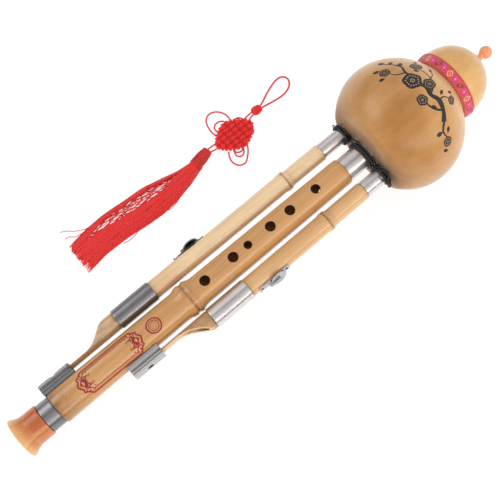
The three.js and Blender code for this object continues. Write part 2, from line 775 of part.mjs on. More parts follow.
// Rubber pad between the flat back of a clip and the round pipe
function clipPad(drone) {
  const high = clipInner - fitGap;
  const radius = high - padThickness;
  const outline = [new THREE.Vector2(high, -padHalfHeight), new THREE.Vector2(high, padHalfHeight)];
  for (let i = 0; i <= padSteps; i += 1) {
    const height = padHalfHeight - (2 * padHalfHeight * i) / padSteps;
    outline.push(new THREE.Vector2(Math.sqrt(radius * radius - height * height), height));
  }
  const start = drone.clipStart + clipPadSetback;
  const pad = bar(outline, start, drone.clipStart + clipLength);
  const shankRadius = clipScrewShank + fitGap;
  return cut(pad, [standing(clipScrewAlong(drone), 0, clipInner + cutRun, shankRadius, smallFacets)]);
}

function screw(along, seat, headRadius, headHeight, shankRadius, depth, slot) {
  const low = seat - depth;
  const high = seat + headHeight;
  const geometry = turned([
    [low, 0], [low, shankRadius], [seat, shankRadius], [seat, headRadius], [high, headRadius - slot / 2],
    [high, 0],
  ], screwFacets);
  geometry.rotateZ(Math.PI / 2);
  geometry.translate(along, 0, 0);
  const half = slot / 2;
  const reach = headRadius + cutRun;
  const groove = block(along - reach, along + reach, high - headHeight / 2, high + cutRun, -half, half);
  return cut(geometry, [groove]);
}

function clipScrew(drone) {
  const seat = clipInner + clipSheet + fitGap;
  return screw(
    clipScrewAlong(drone), seat, clipScrewHead, clipScrewHeadHeight, clipScrewShank,
    clipScrewDepth + clipSheet, clipScrewSlot,
  );
}

// Drone pipe, sleeve and scooped tail, each along its own axis
function dronePipe(drone) {
  const start = drone.sleeveEnd - dronePipeInSleeve;
  const sleevedRadius = droneSleeveRadius - droneSleeveWall - fitGap;
  const tenonRadius = drone.ferruleRadius - ferruleWall - fitGap;
  const tenonEnd = drone.ferruleStart + droneTenonLength;
  const boreEnd = drone.ferruleStart - droneTenonBore;
  const nodeRadius = (drone.lowerRadius + drone.upperRadius) / 2 + droneNodeRise;
  const shoulder = drone.sleeveEnd + fitGap;
  const outer = [
    [start, sleevedRadius], [shoulder, sleevedRadius], [shoulder, drone.lowerRadius],
    [drone.nodeAlong - droneNodeHalfLength, drone.lowerRadius],
    [drone.nodeAlong - droneNodeHalfLength / 2, nodeRadius],
    [drone.nodeAlong + droneNodeHalfLength / 2, nodeRadius],
    [drone.nodeAlong + droneNodeHalfLength, drone.upperRadius],
    [drone.ferruleStart, drone.upperRadius], [drone.ferruleStart, tenonRadius], [tenonEnd, tenonRadius],
  ];
  const inner = [
    [tenonEnd, droneTenonBore], [drone.ferruleStart, droneTenonBore], [boreEnd, droneBoreRadius],
    [start, droneBoreRadius],
  ];
  const [lowScrew, highScrew] = plateScrewPlaces(drone);
  const screwHole = plateScrewShank + fitGap;
  const high = drone.lowerRadius + cutRun;
  return cut(turned([...outer, ...inner], droneFacets), [
    standing(drone.knobAlong, 0, high, droneHoleRadius, holeFacets),
    standing(lowScrew, 0, high, screwHole, tinyFacets),
    standing(highScrew, 0, high, screwHole, tinyFacets),
  ]);
}

function droneSleeve(drone) {
  const bore = droneSleeveRadius - droneSleeveWall;
  return tube(drone.sleeveStart, drone.sleeveEnd, droneSleeveRadius, bore, droneFacets);
}

function droneTail(drone) {
  const start = drone.clipStart + clipLength - tailInClip;
  const shoulder = drone.sleeveStart - fitGap;
  const end = drone.sleeveStart + tailInSleeve;
  const sleevedRadius = droneSleeveRadius - droneSleeveWall - fitGap;
  const body = turned([
    [start, tailBoreRadius], [start, drone.lowerRadius], [shoulder, drone.lowerRadius],
    [shoulder, sleevedRadius], [end, sleevedRadius], [end, tailBoreRadius],
  ], droneFacets);
  const low = tailTongueThickness - drone.lowerRadius;
  const high = drone.lowerRadius + cutRun;
  const scoopEnd = shoulder - fitGap;
  const run = scoopEnd - drone.scoopStart;
  const scoop = new THREE.CubicBezierCurve(
    new THREE.Vector2(drone.scoopStart, low),
    new THREE.Vector2(drone.scoopStart + run * drone.scoopStartShare, low),
    new THREE.Vector2(scoopEnd - run * drone.scoopEndShare, high),
    new THREE.Vector2(scoopEnd, high),
  );
  const outline = [[start - cutRun, high], [start - cutRun, low]];
  for (const point of scoop.getPoints(smallFacets)) outline.push([point.x, point.y]);
  return cut(body, [slab(outline, 2 * high)]);
}

// Sliding switch: a bridge plate with curled ends, a ridged knob and the pad that it carries
function plateStart(drone) {
  return drone.knobAlong - plateLength * plateKnobShare;
}

function plateScrewPlaces(drone) {
  const start = plateStart(drone);
  return [start + plateScrewFromEnd, start + plateLength - plateScrewFromEnd];
}

// Half a turn of curl at the end of the plate, as points on its two faces
function curlPoints(centreX, centreY, direction) {
  const outer = [];
  const inner = [];
  for (let i = 1; i <= plateCurlSteps; i += 1) {
    const angle = (Math.PI * 1.2 * i) / plateCurlSteps;
    const x = -direction * Math.sin(angle);
    const y = -Math.cos(angle);
    const outerRadius = plateCurlRadius + plateThickness;
    outer.push([centreX + outerRadius * x, centreY + outerRadius * y]);
    inner.push([centreX + plateCurlRadius * x, centreY + plateCurlRadius * y]);
  }
  return [outer, inner];
}

function switchPlate(drone) {
  const low = drone.lowerRadius + fitGap;
  const top = low + plateThickness;
  const start = plateStart(drone);
  const end = start + plateLength;
  const curl = plateCurlRadius + plateThickness;
  const firstCurl = start + curl;
  const lastCurl = end - curl;
  const curlHeight = low + curl;
  const [startOuter, startInner] = curlPoints(firstCurl, curlHeight, 1);
  const [endOuter, endInner] = curlPoints(lastCurl, curlHeight, -1);
  const outline = [
    [firstCurl, low],
    [start + plateFoot, low], [start + plateFoot + plateRamp, low + plateRise],
    [end - plateFoot - plateRamp, low + plateRise], [end - plateFoot, low],
    [lastCurl, low], ...endOuter, ...endInner.reverse(), [lastCurl, top],
    [end - plateFoot + plateThickness / 2, top],
    [end - plateFoot - plateRamp + plateThickness / 2, top + plateRise],
    [start + plateFoot + plateRamp - plateThickness / 2, top + plateRise],
    [start + plateFoot - plateThickness / 2, top], [firstCurl, top],
    ...startInner, ...startOuter.reverse(),
  ];
  const plate = slab(outline, 2 * plateHalfWidth);
  const stem = knobStemRadius + fitGap;
  const slot = block(
    drone.knobAlong - knobTravel - stem, drone.knobAlong + stem,
    low, top + plateRise + cutRun, -slotHalfWidth, slotHalfWidth,
  );
  const cutters = [slot];
  for (const along of plateScrewPlaces(drone)) {
    cutters.push(standing(along, low - cutRun, top + cutRun, plateScrewShank + fitGap, tinyFacets));
  }
  return cut(plate, cutters);
}

function knobLevels(drone) {
  const body = drone.lowerRadius + 2 * fitGap + plateThickness + plateRise;
  return { body, rim: body + knobBodyHeight, top: body + knobBodyHeight + knobRimHeight };
}

function switchKnob(drone) {
  const { body, rim, top } = knobLevels(drone);
  const stemEnd = body - plateThickness - plateRise;
  const round = turned([
    [stemEnd, 0], [stemEnd, knobStemRadius], [body, knobStemRadius], [body, knobBodyRadius],
    [rim, knobBodyRadius], [rim, knobRadius - knobRimHeight / 2], [rim + knobRimHeight / 2, knobRadius],
    [top, knobRadius - knobRimHeight / 2], [top, 0],
  ], 2 * knobRidges);
  round.rotateZ(Math.PI / 2);
  round.translate(drone.knobAlong, 0, 0);
  const position = round.attributes.position;
  for (let i = 0; i < position.count; i += 1) {
    const x = position.getX(i) - drone.knobAlong;
    const z = position.getZ(i);
    const radius = Math.hypot(x, z);
    const ridge = Math.round((Math.atan2(z, x) / Math.PI) * knobRidges);
    const onBody = Math.abs(radius - knobBodyRadius) < knobRidgeDepth / 2;
    if (onBody && ridge % 2 !== 0) {
      const pulled = (radius - knobRidgeDepth) / radius;
      position.setX(i, drone.knobAlong + x * pulled);
      position.setZ(i, z * pulled);
    }
  }
  return round;
}

function switchPad(drone) {
  const low = drone.lowerRadius + fitGap;
  const high = low + padHeight;
  const outline = [];
  for (let i = 0; i <= padArcSteps; i += 1) {
    const angle = -padSweep / 2 + (padSweep * i) / padArcSteps;
    outline.push(new THREE.Vector2(high * Math.cos(angle), high * Math.sin(angle)));
  }
  for (let i = padArcSteps; i >= 0; i -= 1) {
    const angle = -padSweep / 2 + (padSweep * i) / padArcSteps;
    outline.push(new THREE.Vector2(low * Math.cos(angle), low * Math.sin(angle)));
  }
  const pad = bar(outline, drone.knobAlong - padLength / 2, drone.knobAlong + padLength / 2);
  const { body } = knobLevels(drone);
  const socket = body - plateThickness - plateRise - fitGap;
  return cut(pad, [standing(drone.knobAlong, socket, high + cutRun, knobStemRadius + fitGap, holeFacets)]);
}

function switchScrew(drone, along) {
  const seat = drone.lowerRadius + 2 * fitGap + plateThickness;
  return screw(
    along, seat, plateScrewHead, plateScrewHeadHeight, plateScrewShank,
    plateScrewDepth + plateThickness, plateScrewShank / 2,
  );
}

// Tassel pieces, in the table's frame
function cordCurve(route, radius) {
  const height = radius + cordLift;
  return new THREE.CatmullRomCurve3(route.map(([x, y, lift = 0]) => new THREE.Vector3(x, y, height + lift)));
}

function tasselCord(route, diameter) {
  const curve = cordCurve(route, diameter / 2);
  const steps = Math.max(2, Math.round(curve.getLength() / (cordStepShare * diameter)));
  return tubeAlong(curve, diameter / 2, cordSides, steps);
}

function buttonKnot() {
  const geometry = new THREE.SphereGeometry(1 / 2, buttonFacets, buttonFacets / 2);
  geometry.rotateX(Math.PI / 2);
  geometry.scale(buttonLength, buttonWidth, buttonHeight);
  geometry.translate(buttonCentre[0], buttonCentre[1], buttonHeight / 2 + cordLift);
  return geometry;
}

// Oval pad with a raised cell at each crossing of its strands, on a lattice turned to the axis
function knotPad() {
  const count = knotCells * knotCellSteps;
  const positions = [];
  const indices = [];
  const heightAt = (i, j, face) => {
    const wave = Math.abs(Math.sin((Math.PI * i) / knotCellSteps) * Math.sin((Math.PI * j) / knotCellSteps));
    const border = i === 0 || j === 0 || i === count || j === count;
    const edge = face > 0 ? knotHeight / 2 - knotEdge : knotHeight / 2;
    return face * (border ? edge : knotHeight / 2 - knotBump * (1 - wave));
  };
  for (const face of [1, -1]) {
    for (let j = 0; j <= count; j += 1) {
      for (let i = 0; i <= count; i += 1) {
        const u = (2 * i) / count - 1;
        const v = (2 * j) / count - 1;
        const round = new THREE.Vector2(u * Math.sqrt(1 - (v * v) / 2), v * Math.sqrt(1 - (u * u) / 2));
        round.rotateAround(new THREE.Vector2(), knotTurn);
        positions.push(round.x * knotHalfLength, round.y * knotHalfWidth, heightAt(i, j, face));
      }
    }
  }
  const layer = (count + 1) * (count + 1);
  const at = (i, j, face) => j * (count + 1) + i + face * layer;
  for (let j = 0; j < count; j += 1) {
    for (let i = 0; i < count; i += 1) {
      indices.push(at(i, j, 0), at(i + 1, j, 0), at(i + 1, j + 1, 0));
      indices.push(at(i, j, 0), at(i + 1, j + 1, 0), at(i, j + 1, 0));
      indices.push(at(i, j, 1), at(i + 1, j + 1, 1), at(i + 1, j, 1));
      indices.push(at(i, j, 1), at(i, j + 1, 1), at(i + 1, j + 1, 1));
    }
  }
  const side = (a, b) => {
    indices.push(a, b + layer, b, a, a + layer, b + layer);
  };
  for (let i = 0; i < count; i += 1) {
    side(at(i, 0, 0), at(i + 1, 0, 0));
    side(at(i + 1, count, 0), at(i, count, 0));
    side(at(0, i + 1, 0), at(0, i, 0));
    side(at(count, i, 0), at(count, i + 1, 0));
  }
  const geometry = new THREE.BufferGeometry();
  geometry.setAttribute('position', new THREE.Float32BufferAttribute(positions, 3));
  geometry.setIndex(indices);
  geometry.translate(knotCentre[0], knotCentre[1], knotHeight / 2 + cordLift);
  return geometry;
}

function tasselHead() {
  const [[startX, startY], [endX, endY]] = headRoute;
  const length = Math.hypot(endX - startX, endY - startY);
  const stations = [[0, 0], [0, headRadius - headBandRise]];
  for (let i = 0; i < headBands; i += 1) {
    stations.push([(length * (i + 1 / 2)) / headBands, headRadius]);
    stations.push([(length * (i + 1)) / headBands, headRadius - headBandRise]);
  }
  stations.push([length, 0]);
  const geometry = turned(stations, smallFacets);
  geometry.rotateZ(Math.atan2(endY - startY, endX - startX));
  geometry.translate(startX, startY, headRadius + cordLift);
  return geometry;
}

// Fluted skirt that widens and flattens on the table
function tasselSkirt() {
  const positions = [];
  const indices = [];
  for (const station of skirtStations) {
    const half = station.height / 2;
    for (let i = 0; i < skirtSides; i += 1) {
      const angle = (2 * Math.PI * i) / skirtSides;
      const flute = 1 - skirtFluteDepthShare * (1 + Math.cos(angle * skirtFlutes)) / 2;
      const lateral = station.halfWidth * flute * Math.cos(angle);
      const height = half * (1 + flute * Math.sin(angle)) + cordLift;
      positions.push(station.along, station.lateral + lateral, height);
    }
  }
  const last = skirtStations.length - 1;
  for (let ring = 0; ring < last; ring += 1) {
    for (let i = 0; i < skirtSides; i += 1) {
      const next = (i + 1) % skirtSides;
      const a = ring * skirtSides + i;
      const b = ring * skirtSides + next;
      indices.push(a, a + skirtSides, b, b, a + skirtSides, b + skirtSides);
    }
  }
  for (let i = 1; i < skirtSides - 1; i += 1) {
    indices.push(0, i, i + 1);
    indices.push(last * skirtSides, last * skirtSides + i + 1, last * skirtSides + i);
  }
  const geometry = new THREE.BufferGeometry();
  geometry.setAttribute('position', new THREE.Float32BufferAttribute(positions, 3));
  geometry.setIndex(indices);
  return geometry;
}

// The flute rests on the bell's rim and the gourd's belly: the tangent line under both
function lyingAngle() {
  const gourd = gourdStations();
  const rim = [[0, bellLipFaceRadius], [bellLip, bellRimRadius]];
  const slopes = rim.map(([rimAlong, rimRadius]) => Math.max(
    ...gourd.map(([along, radius]) => (radius - rimRadius) / (along - rimAlong)),
  ));
  return Math.atan(Math.min(...slopes));
}

const flute = new THREE.Group();
flute.rotation.y = -lyingAngle();

addPiece(flute, 'gourd_shell', gourdShell(), gourdSkin);
addPiece(flute, 'waist_ribbon', waistRibbon(), ribbonWeave);
addPiece(flute, 'mouthpiece', mouthpiece(), orangePlastic);
addPiece(flute, 'wax_seal', waxSeal(), beeswax);
addPiece(flute, 'main_ferrule', ferrule(pipeShoulder + fitGap, mainFerruleRadius, mainFacets), silver);
addPiece(flute, 'main_reed_tube', reedTube(mainFerruleRadius, mainReed, smallFacets), brass);
addPiece(flute, 'main_reed_plate', reedPlate(mainReed), brass);
addPiece(flute, 'main_cord_winding', cordWinding('main_cord_winding', mainFerruleRadius, 0), blackCord);
addPiece(flute, 'main_pipe', mainPipe(), bambooMain);
addPiece(flute, 'foot_sleeve', footSleeve(), silver);
addPiece(flute, 'bell', bell(), amberPlastic);

for (const drone of drones) {
  const side = drone.side;
  const bamboo = side === 'left' ? bambooPale : bambooRight;
  const clipGroup = new THREE.Group();
  clipGroup.rotation.x = drone.turn;
  addPiece(clipGroup, `${side}_clip`, clip(drone), silver);
  addPiece(clipGroup, `${side}_clip_pad`, clipPad(drone), darkRubber);
  addPiece(clipGroup, `${side}_clip_screw`, clipScrew(drone), darkSteel);
  flute.add(clipGroup);

  const droneGroup = new THREE.Group();
  droneGroup.applyMatrix4(dronePlace(drone));
  const winding = cordWinding(`${side}_cord_winding`, drone.ferruleRadius, drone.windingStartTurnShare);
  addPiece(droneGroup, `${side}_ferrule`, ferrule(drone.ferruleStart + fitGap, drone.ferruleRadius, droneFacets), silver);
  addPiece(droneGroup, `${side}_reed_tube`, reedTube(drone.ferruleRadius, droneReed, smallFacets), brass);
  addPiece(droneGroup, `${side}_reed_plate`, reedPlate(droneReed), brass);
  addPiece(droneGroup, `${side}_cord_winding`, winding, blackCord);
  addPiece(droneGroup, `${side}_drone_pipe`, dronePipe(drone), bamboo);
  addPiece(droneGroup, `${side}_drone_sleeve`, droneSleeve(drone), silver);
  addPiece(droneGroup, `${side}_drone_tail`, droneTail(drone), bamboo);
  addPiece(droneGroup, `${side}_switch_plate`, switchPlate(drone), darkSteel);
  addPiece(droneGroup, `${side}_switch_knob`, switchKnob(drone), silver);
  addPiece(droneGroup, `${side}_switch_pad`, switchPad(drone), darkRubber);
  const [lowScrew, highScrew] = plateScrewPlaces(drone);
  addPiece(droneGroup, `${side}_switch_screw_low`, switchScrew(drone, lowScrew), darkSteel);
  addPiece(droneGroup, `${side}_switch_screw_high`, switchScrew(drone, highScrew), darkSteel);
  flute.add(droneGroup);
}

// Origin on the table, under the middle of the flute
const fluteBounds = new THREE.Box3().setFromObject(flute, true);
const fluteMiddle = fluteBounds.getCenter(new THREE.Vector3());
flute.position.set(-fluteMiddle.x, 0, -fluteBounds.min.z);

const tassel = new THREE.Group();
addPiece(tassel, 'tassel_hanging_loop', tasselCord(hangingLoopRoute, loopCord), redCord);
addPiece(tassel, 'tassel_button_knot', buttonKnot(), redCord);
addPiece(tassel, 'tassel_knot', knotPad(), redCord);
for (const [name, route] of Object.entries(earRoutes)) addPiece(tassel, name, tasselCord(route, earCord), redCord);
for (const [name, route] of Object.entries(upperCordRoutes)) addPiece(tassel, name, tasselCord(route, earCord), redCord);
for (const [name, route] of Object.entries(lowerCordRoutes)) addPiece(tassel, name, tasselCord(route, earCord), redCord);
addPiece(tassel, 'tassel_head', tasselHead(), redCord);
addPiece(tassel, 'tassel_skirt', tasselSkirt(), redCord);

const hulusi = new THREE.Group();
hulusi.name = 'hulusi';
hulusi.add(flute, tassel);

export default hulusi;
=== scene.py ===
"""Hulusi, a gourd flute with three bamboo pipes, and its red tassel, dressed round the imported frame.

Lengths in the drawing code are millimetres. Flute pieces are drawn in the flute's own frame: X from the
bell's rim to the mouthpiece, Y to the left drone and Z up out of the finger holes. FLUTE lays that frame
on the table, and each drone and clip has a frame of its own in PLACES.
"""

import math
import random

import bpy
import numpy as np
from bpy.props import FloatProperty, FloatVectorProperty, IntProperty, PointerProperty
from mathutils import Matrix, Vector


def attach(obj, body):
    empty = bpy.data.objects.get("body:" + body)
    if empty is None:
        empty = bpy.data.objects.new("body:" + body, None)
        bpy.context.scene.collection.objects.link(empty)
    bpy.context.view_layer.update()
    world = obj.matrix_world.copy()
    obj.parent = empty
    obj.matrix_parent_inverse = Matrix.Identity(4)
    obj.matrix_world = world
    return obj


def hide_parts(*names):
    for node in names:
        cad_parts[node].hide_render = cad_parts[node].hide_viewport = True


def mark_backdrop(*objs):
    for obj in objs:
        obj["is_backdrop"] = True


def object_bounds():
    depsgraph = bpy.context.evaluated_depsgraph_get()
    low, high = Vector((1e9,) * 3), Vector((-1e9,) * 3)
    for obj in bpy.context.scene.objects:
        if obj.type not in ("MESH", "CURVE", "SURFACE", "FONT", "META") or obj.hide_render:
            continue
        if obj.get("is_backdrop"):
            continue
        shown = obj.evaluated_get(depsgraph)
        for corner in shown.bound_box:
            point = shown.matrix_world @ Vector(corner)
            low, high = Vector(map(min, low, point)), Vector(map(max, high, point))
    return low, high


bl_info = {
    "name": "Hulusi with tassel",
    "version": (1, 0, 0),
    "blender": (4, 5, 0),
    "location": "View3D > Sidebar > Hulusi",
    "description": "Builds a gourd flute and its tassel piece by piece round a packed model",
    "category": "Add Mesh",
}

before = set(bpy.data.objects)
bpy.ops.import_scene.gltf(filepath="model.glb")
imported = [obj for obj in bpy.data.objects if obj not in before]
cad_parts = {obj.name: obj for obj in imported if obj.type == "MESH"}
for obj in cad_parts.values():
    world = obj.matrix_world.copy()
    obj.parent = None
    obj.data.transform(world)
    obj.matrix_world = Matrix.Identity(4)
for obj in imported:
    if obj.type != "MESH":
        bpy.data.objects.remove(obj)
CAD_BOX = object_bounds()

MM = 0.001
TURN = 2 * math.pi

# How the flute lies on the table
LEAN = 0.09933887
FLUTE_AT = (-222.36416, 0, 15.27482)

# Places along the flute and radii of its round pieces
GOURD_BASE = 321.5
BULB = {"centre": 354.0, "radius": 50.5, "base_reach": 43.3, "waist_reach": 47.4}
SMALL_BULB = {"centre": 405.0, "radius": 27.6, "reach": 29.0}
WAIST = (394.7, 26.1)
WAIST_BLEND = 3.6
WAIST_RISE = 2.05
RIBBON = (396.6, 404.0)
FIT = 0.3
MAIN_FERRULE_RADIUS = 9.52
FERRULE_WALL = 0.9
FERRULE_RUN = 9.5
REED_END_BORE = 3.5
PIPE_END = 32.3
PIPE_SHOULDER = 299.3
PIPE_TENON_END = 314.8
PIPE_FOOT = 14.0
FOOT_RADIUS = 10.05
BELL_LENGTH = 21.0
CLIP_LENGTH = 26.5
CLIP_INNER = 13.6
CLIP_OUTER = 20.1
CLIP_HALF_HEIGHT = 6.2
CLIP_SHEET = 0.7
CLIP_FOLDS = (14.3, 15.9, 17.5)
SLEEVE_RADIUS = 7.92
SLEEVE_WALL = 0.7
SLEEVE_SEAT = 6.92
PLATE_LENGTH = 27.8
PLATE_KNOB_SHARE = 0.596
PLATE_SCREWS = (2.4, 25.4)
PLATE_THICKNESS = 0.4
PLATE_RISE = 0.45
SWITCH_TURN = {"left": math.radians(-15), "right": math.radians(-9)}
KNOB_TRAVEL = 7.0
WINDING_PITCH = 2.35
WINDING_TURNS = 2
WINDING_STEPS = 48

FINGER_HOLES = ((168.2, 3.6), (194.5, 3.6), (208.3, 2.8), (229.4, 3.6), (248.0, 3.6), (272.6, 3.35))
THUMB_HOLE = (279.5, 3.2)

# The drones' sizes; tail_lateral is measured at TAIL_AT
TAIL_AT = 110
DRONES = {
    "left": {
        "turn": 0.0, "gourd_lateral": 22.4, "tail_lateral": 22.3, "clip": 30.8, "sleeve": (102.8, 136.1),
        "node": 262.1, "ferrule": 296.8, "ferrule_radius": 5.95, "lower": 7.12, "upper": 6.65,
        "knob": 178.2, "scoop": 71.0, "scoop_shares": (0.5, 0.45), "winding_start": 0.5,
        "sleeve_tone": "dark", "tone": "dark", "fleck": 0.25,
    },
    "right": {
        "turn": math.pi, "gourd_lateral": 20.9, "tail_lateral": 22.3, "clip": 87.5, "sleeve": (155.3, 188.7),
        "node": 264.3, "ferrule": 299.9, "ferrule_radius": 6.4, "lower": 7.35, "upper": 6.8,
        "knob": 210.3, "scoop": 126.0, "scoop_shares": (0.55, 0.12), "winding_start": 0.25,
        "sleeve_tone": "light", "tone": "mid", "fleck": 0.5,
    },
}
MAIN_FLECK = 0.9

FLUTE = Matrix.Translation(FLUTE_AT) @ Matrix.Rotation(-LEAN, 4, "Y")
TABLE = Matrix.Identity(4)


def drone_place(drone):
    lean = math.atan((drone["gourd_lateral"] - drone["tail_lateral"]) / (GOURD_BASE - TAIL_AT))
    stand = Matrix.Translation((GOURD_BASE, drone["gourd_lateral"], 0)) @ Matrix.Rotation(lean, 4, "Z")
    return FLUTE @ Matrix.Rotation(drone["turn"], 4, "X") @ stand @ Matrix.Translation((-GOURD_BASE, 0, 0))


PLACES = {"flute": FLUTE, "table": TABLE}
for _side, _drone in DRONES.items():
    PLACES[_side + "_drone"] = drone_place(_drone)
    PLACES[_side + "_clip"] = FLUTE @ Matrix.Rotation(_drone["turn"], 4, "X")


# Cord routes on the table: x, y and how far the cord is lifted
HANGING_LOOP = (
    (79.2, 98.4, 1.9), (82.6, 99.9, 1.2), (87, 102.2, 0.3), (92, 104.7, 0), (98.5, 107.2, 0), (104, 108.9, 0),
    (109.2, 109.1, 0), (112.6, 106.9, 0), (113.5, 103.4, 0), (111.6, 99.7, 0), (107.5, 96.7, 0),
    (101.5, 95.1, 0), (94.5, 95.2, 0), (88, 95.9, 0.3), (83, 96.2, 1.2), (79.2, 96.3, 1.9),
)
EAR_BIG = (
    (52.8, 103.7, 0), (53.9, 107.6, 0), (53, 113, 0), (50, 117.4, 0), (45.5, 119.8, 0), (40.8, 119.2, 0),
    (37.2, 115.6, 0), (35.4, 110.2, 0), (34.9, 105.4, 0), (35.5, 101.35, 0),
)
EAR_RIGHT = (
    (34.2, 83.8, 0), (31.4, 78.9, 0), (31, 73.6, 0), (33.4, 69.2, 0), (38.4, 68, 0), (43.2, 71.2, 0),
    (47.4, 75.6, 0), (49.65, 79.25, 0),
)
EAR_LEFT = ((48.5, 104.5, 0), (48.3, 107.6, 0), (45, 109.7, 0), (41, 109.3, 0), (38.6, 106.8, 0), (38.75, 103.1, 0))
EAR_FRONT = ((37.9, 81.3, 0), (36.9, 77.4, 0), (39.4, 74.5, 0), (43.2, 75.6, 0), (45.5, 79.3, 0))
EARS_SMALL = (
    ((37.8, 82.2, 0.6), (38.6, 79.3, 0.6), (42, 77.6, 0.6), (44.9, 79, 0.6), (44.8, 82.4, 0.8)),
    ((61.2, 89.4, 1.2), (61.6, 86, 1), (59, 83.7, 0.8), (55.6, 84.6, 1), (54.6, 87.2, 1.4)),
    ((53.6, 100.2, 1.4), (55.2, 102.2, 1), (58.4, 102.4, 1), (60.6, 100.4, 1), (60.2, 97.4, 1.4)),
)
UPPER_CORDS = (
    ((72.2, 98.2, 2.2), (69.7, 98.4, 1.9), (66.5, 98.4, 1.4), (62.1, 97.9, 1), (58.4, 97, 1)),
    ((72.2, 96.2, 2.2), (69.8, 96, 1.9), (66.5, 95.5, 1.4), (63.5, 94.4, 1), (59.8, 93.6, 1)),
)
LOWER_CORDS = (
    ((34.5, 95.5, 1), (30.8, 95.6, 1), (26, 95.4, 2), (20.75, 94.9, 3), (17.5, 94.2, 3.4)),
    ((34, 91.8, 1), (30.2, 91.6, 1), (26, 91.5, 2), (21.5, 92, 3), (17.5, 92.3, 3.4)),
)
CORD_LIFT = 0.1
BUTTON_CENTRE = (74.4, 97.2, 3.3)
BUTTON_HALF = (4.7, 3.8, 3.2)
KNOT_CENTRE = (47.0, 92.0)
KNOT_HALF = (15.2, 11.4)
HEAD = ((20.6, 93.4), (4.9, 89.9))
HEAD_RADIUS = 5.2
# Skirt: x, middle y, half width and thickness
SKIRT = (
    (8.0, 90.6, 4.0, 7.6), (3.55, 89.9, 5.4, 8.6), (-7.5, 88.4, 8, 8.6), (-22.7, 88.1, 11.2, 8.2),
    (-38, 89, 13.4, 7.6), (-55, 89.5, 13.3, 6.8), (-73, 91, 13.2, 6.0), (-93, 90.2, 12.6, 5.2),
    (-111.5, 86.8, 12.6, 4.2),
)


# Sizes and colours that a user may change
def shade_of(code):
    """Scene-linear colour of a hex code"""
    channels = [int(code[i:i + 2], 16) / 255 for i in (0, 2, 4)]
    return tuple(c / 12.92 if c <= 0.04045 else ((c + 0.055) / 1.055) ** 2.4 for c in channels)


def length_prop(name, description, millimetres):
    return FloatProperty(
        name=name, description=description, default=millimetres * MM, min=0, precision=5,
        subtype="DISTANCE", unit="LENGTH",
    )


def count_prop(name, description, count, low, high):
    return IntProperty(name=name, description=description, default=count, min=low, max=high)


def colour_prop(name, description, code):
    return FloatVectorProperty(
        name=name, description=description, default=shade_of(code), size=3, min=0, max=1, subtype="COLOR",
    )


class HulusiSizes(bpy.types.PropertyGroup):
    """Sizes of the details that dress the flute"""
    hole_edge: length_prop("Hole edge", "Width of the rounded edge of each finger hole", 0.4)
    gourd_wall: length_prop("Gourd wall", "Thickness of the gourd's wall", 4)
    ribbon_height: length_prop("Ribbon height", "How far the ribbon stands off the gourd", 0.95)
    black_cord: length_prop("Black cord", "Thickness of the cord wound round the ferrules", 1.9)
    loop_cord: length_prop("Loop cord", "Thickness of the tassel's hanging loop", 1.6)
    ear_cord: length_prop("Ear cord", "Thickness of the cord in the tassel's knot and ears", 1.4)
    thread: length_prop("Thread", "Thickness of one thread of the tassel's skirt", 0.62)
    print_height: length_prop("Print height", "Thickness of the printed marks", 0.05)
    thread_count: count_prop("Threads", "Number of threads in the skirt", 430, 50, 700)
    ribbon_flowers: count_prop("Ribbon flowers", "Flowers woven into the ribbon", 15, 4, 24)
    knob_ridges: count_prop("Knob ridges", "Ridges round each sliding knob", 28, 8, 60)


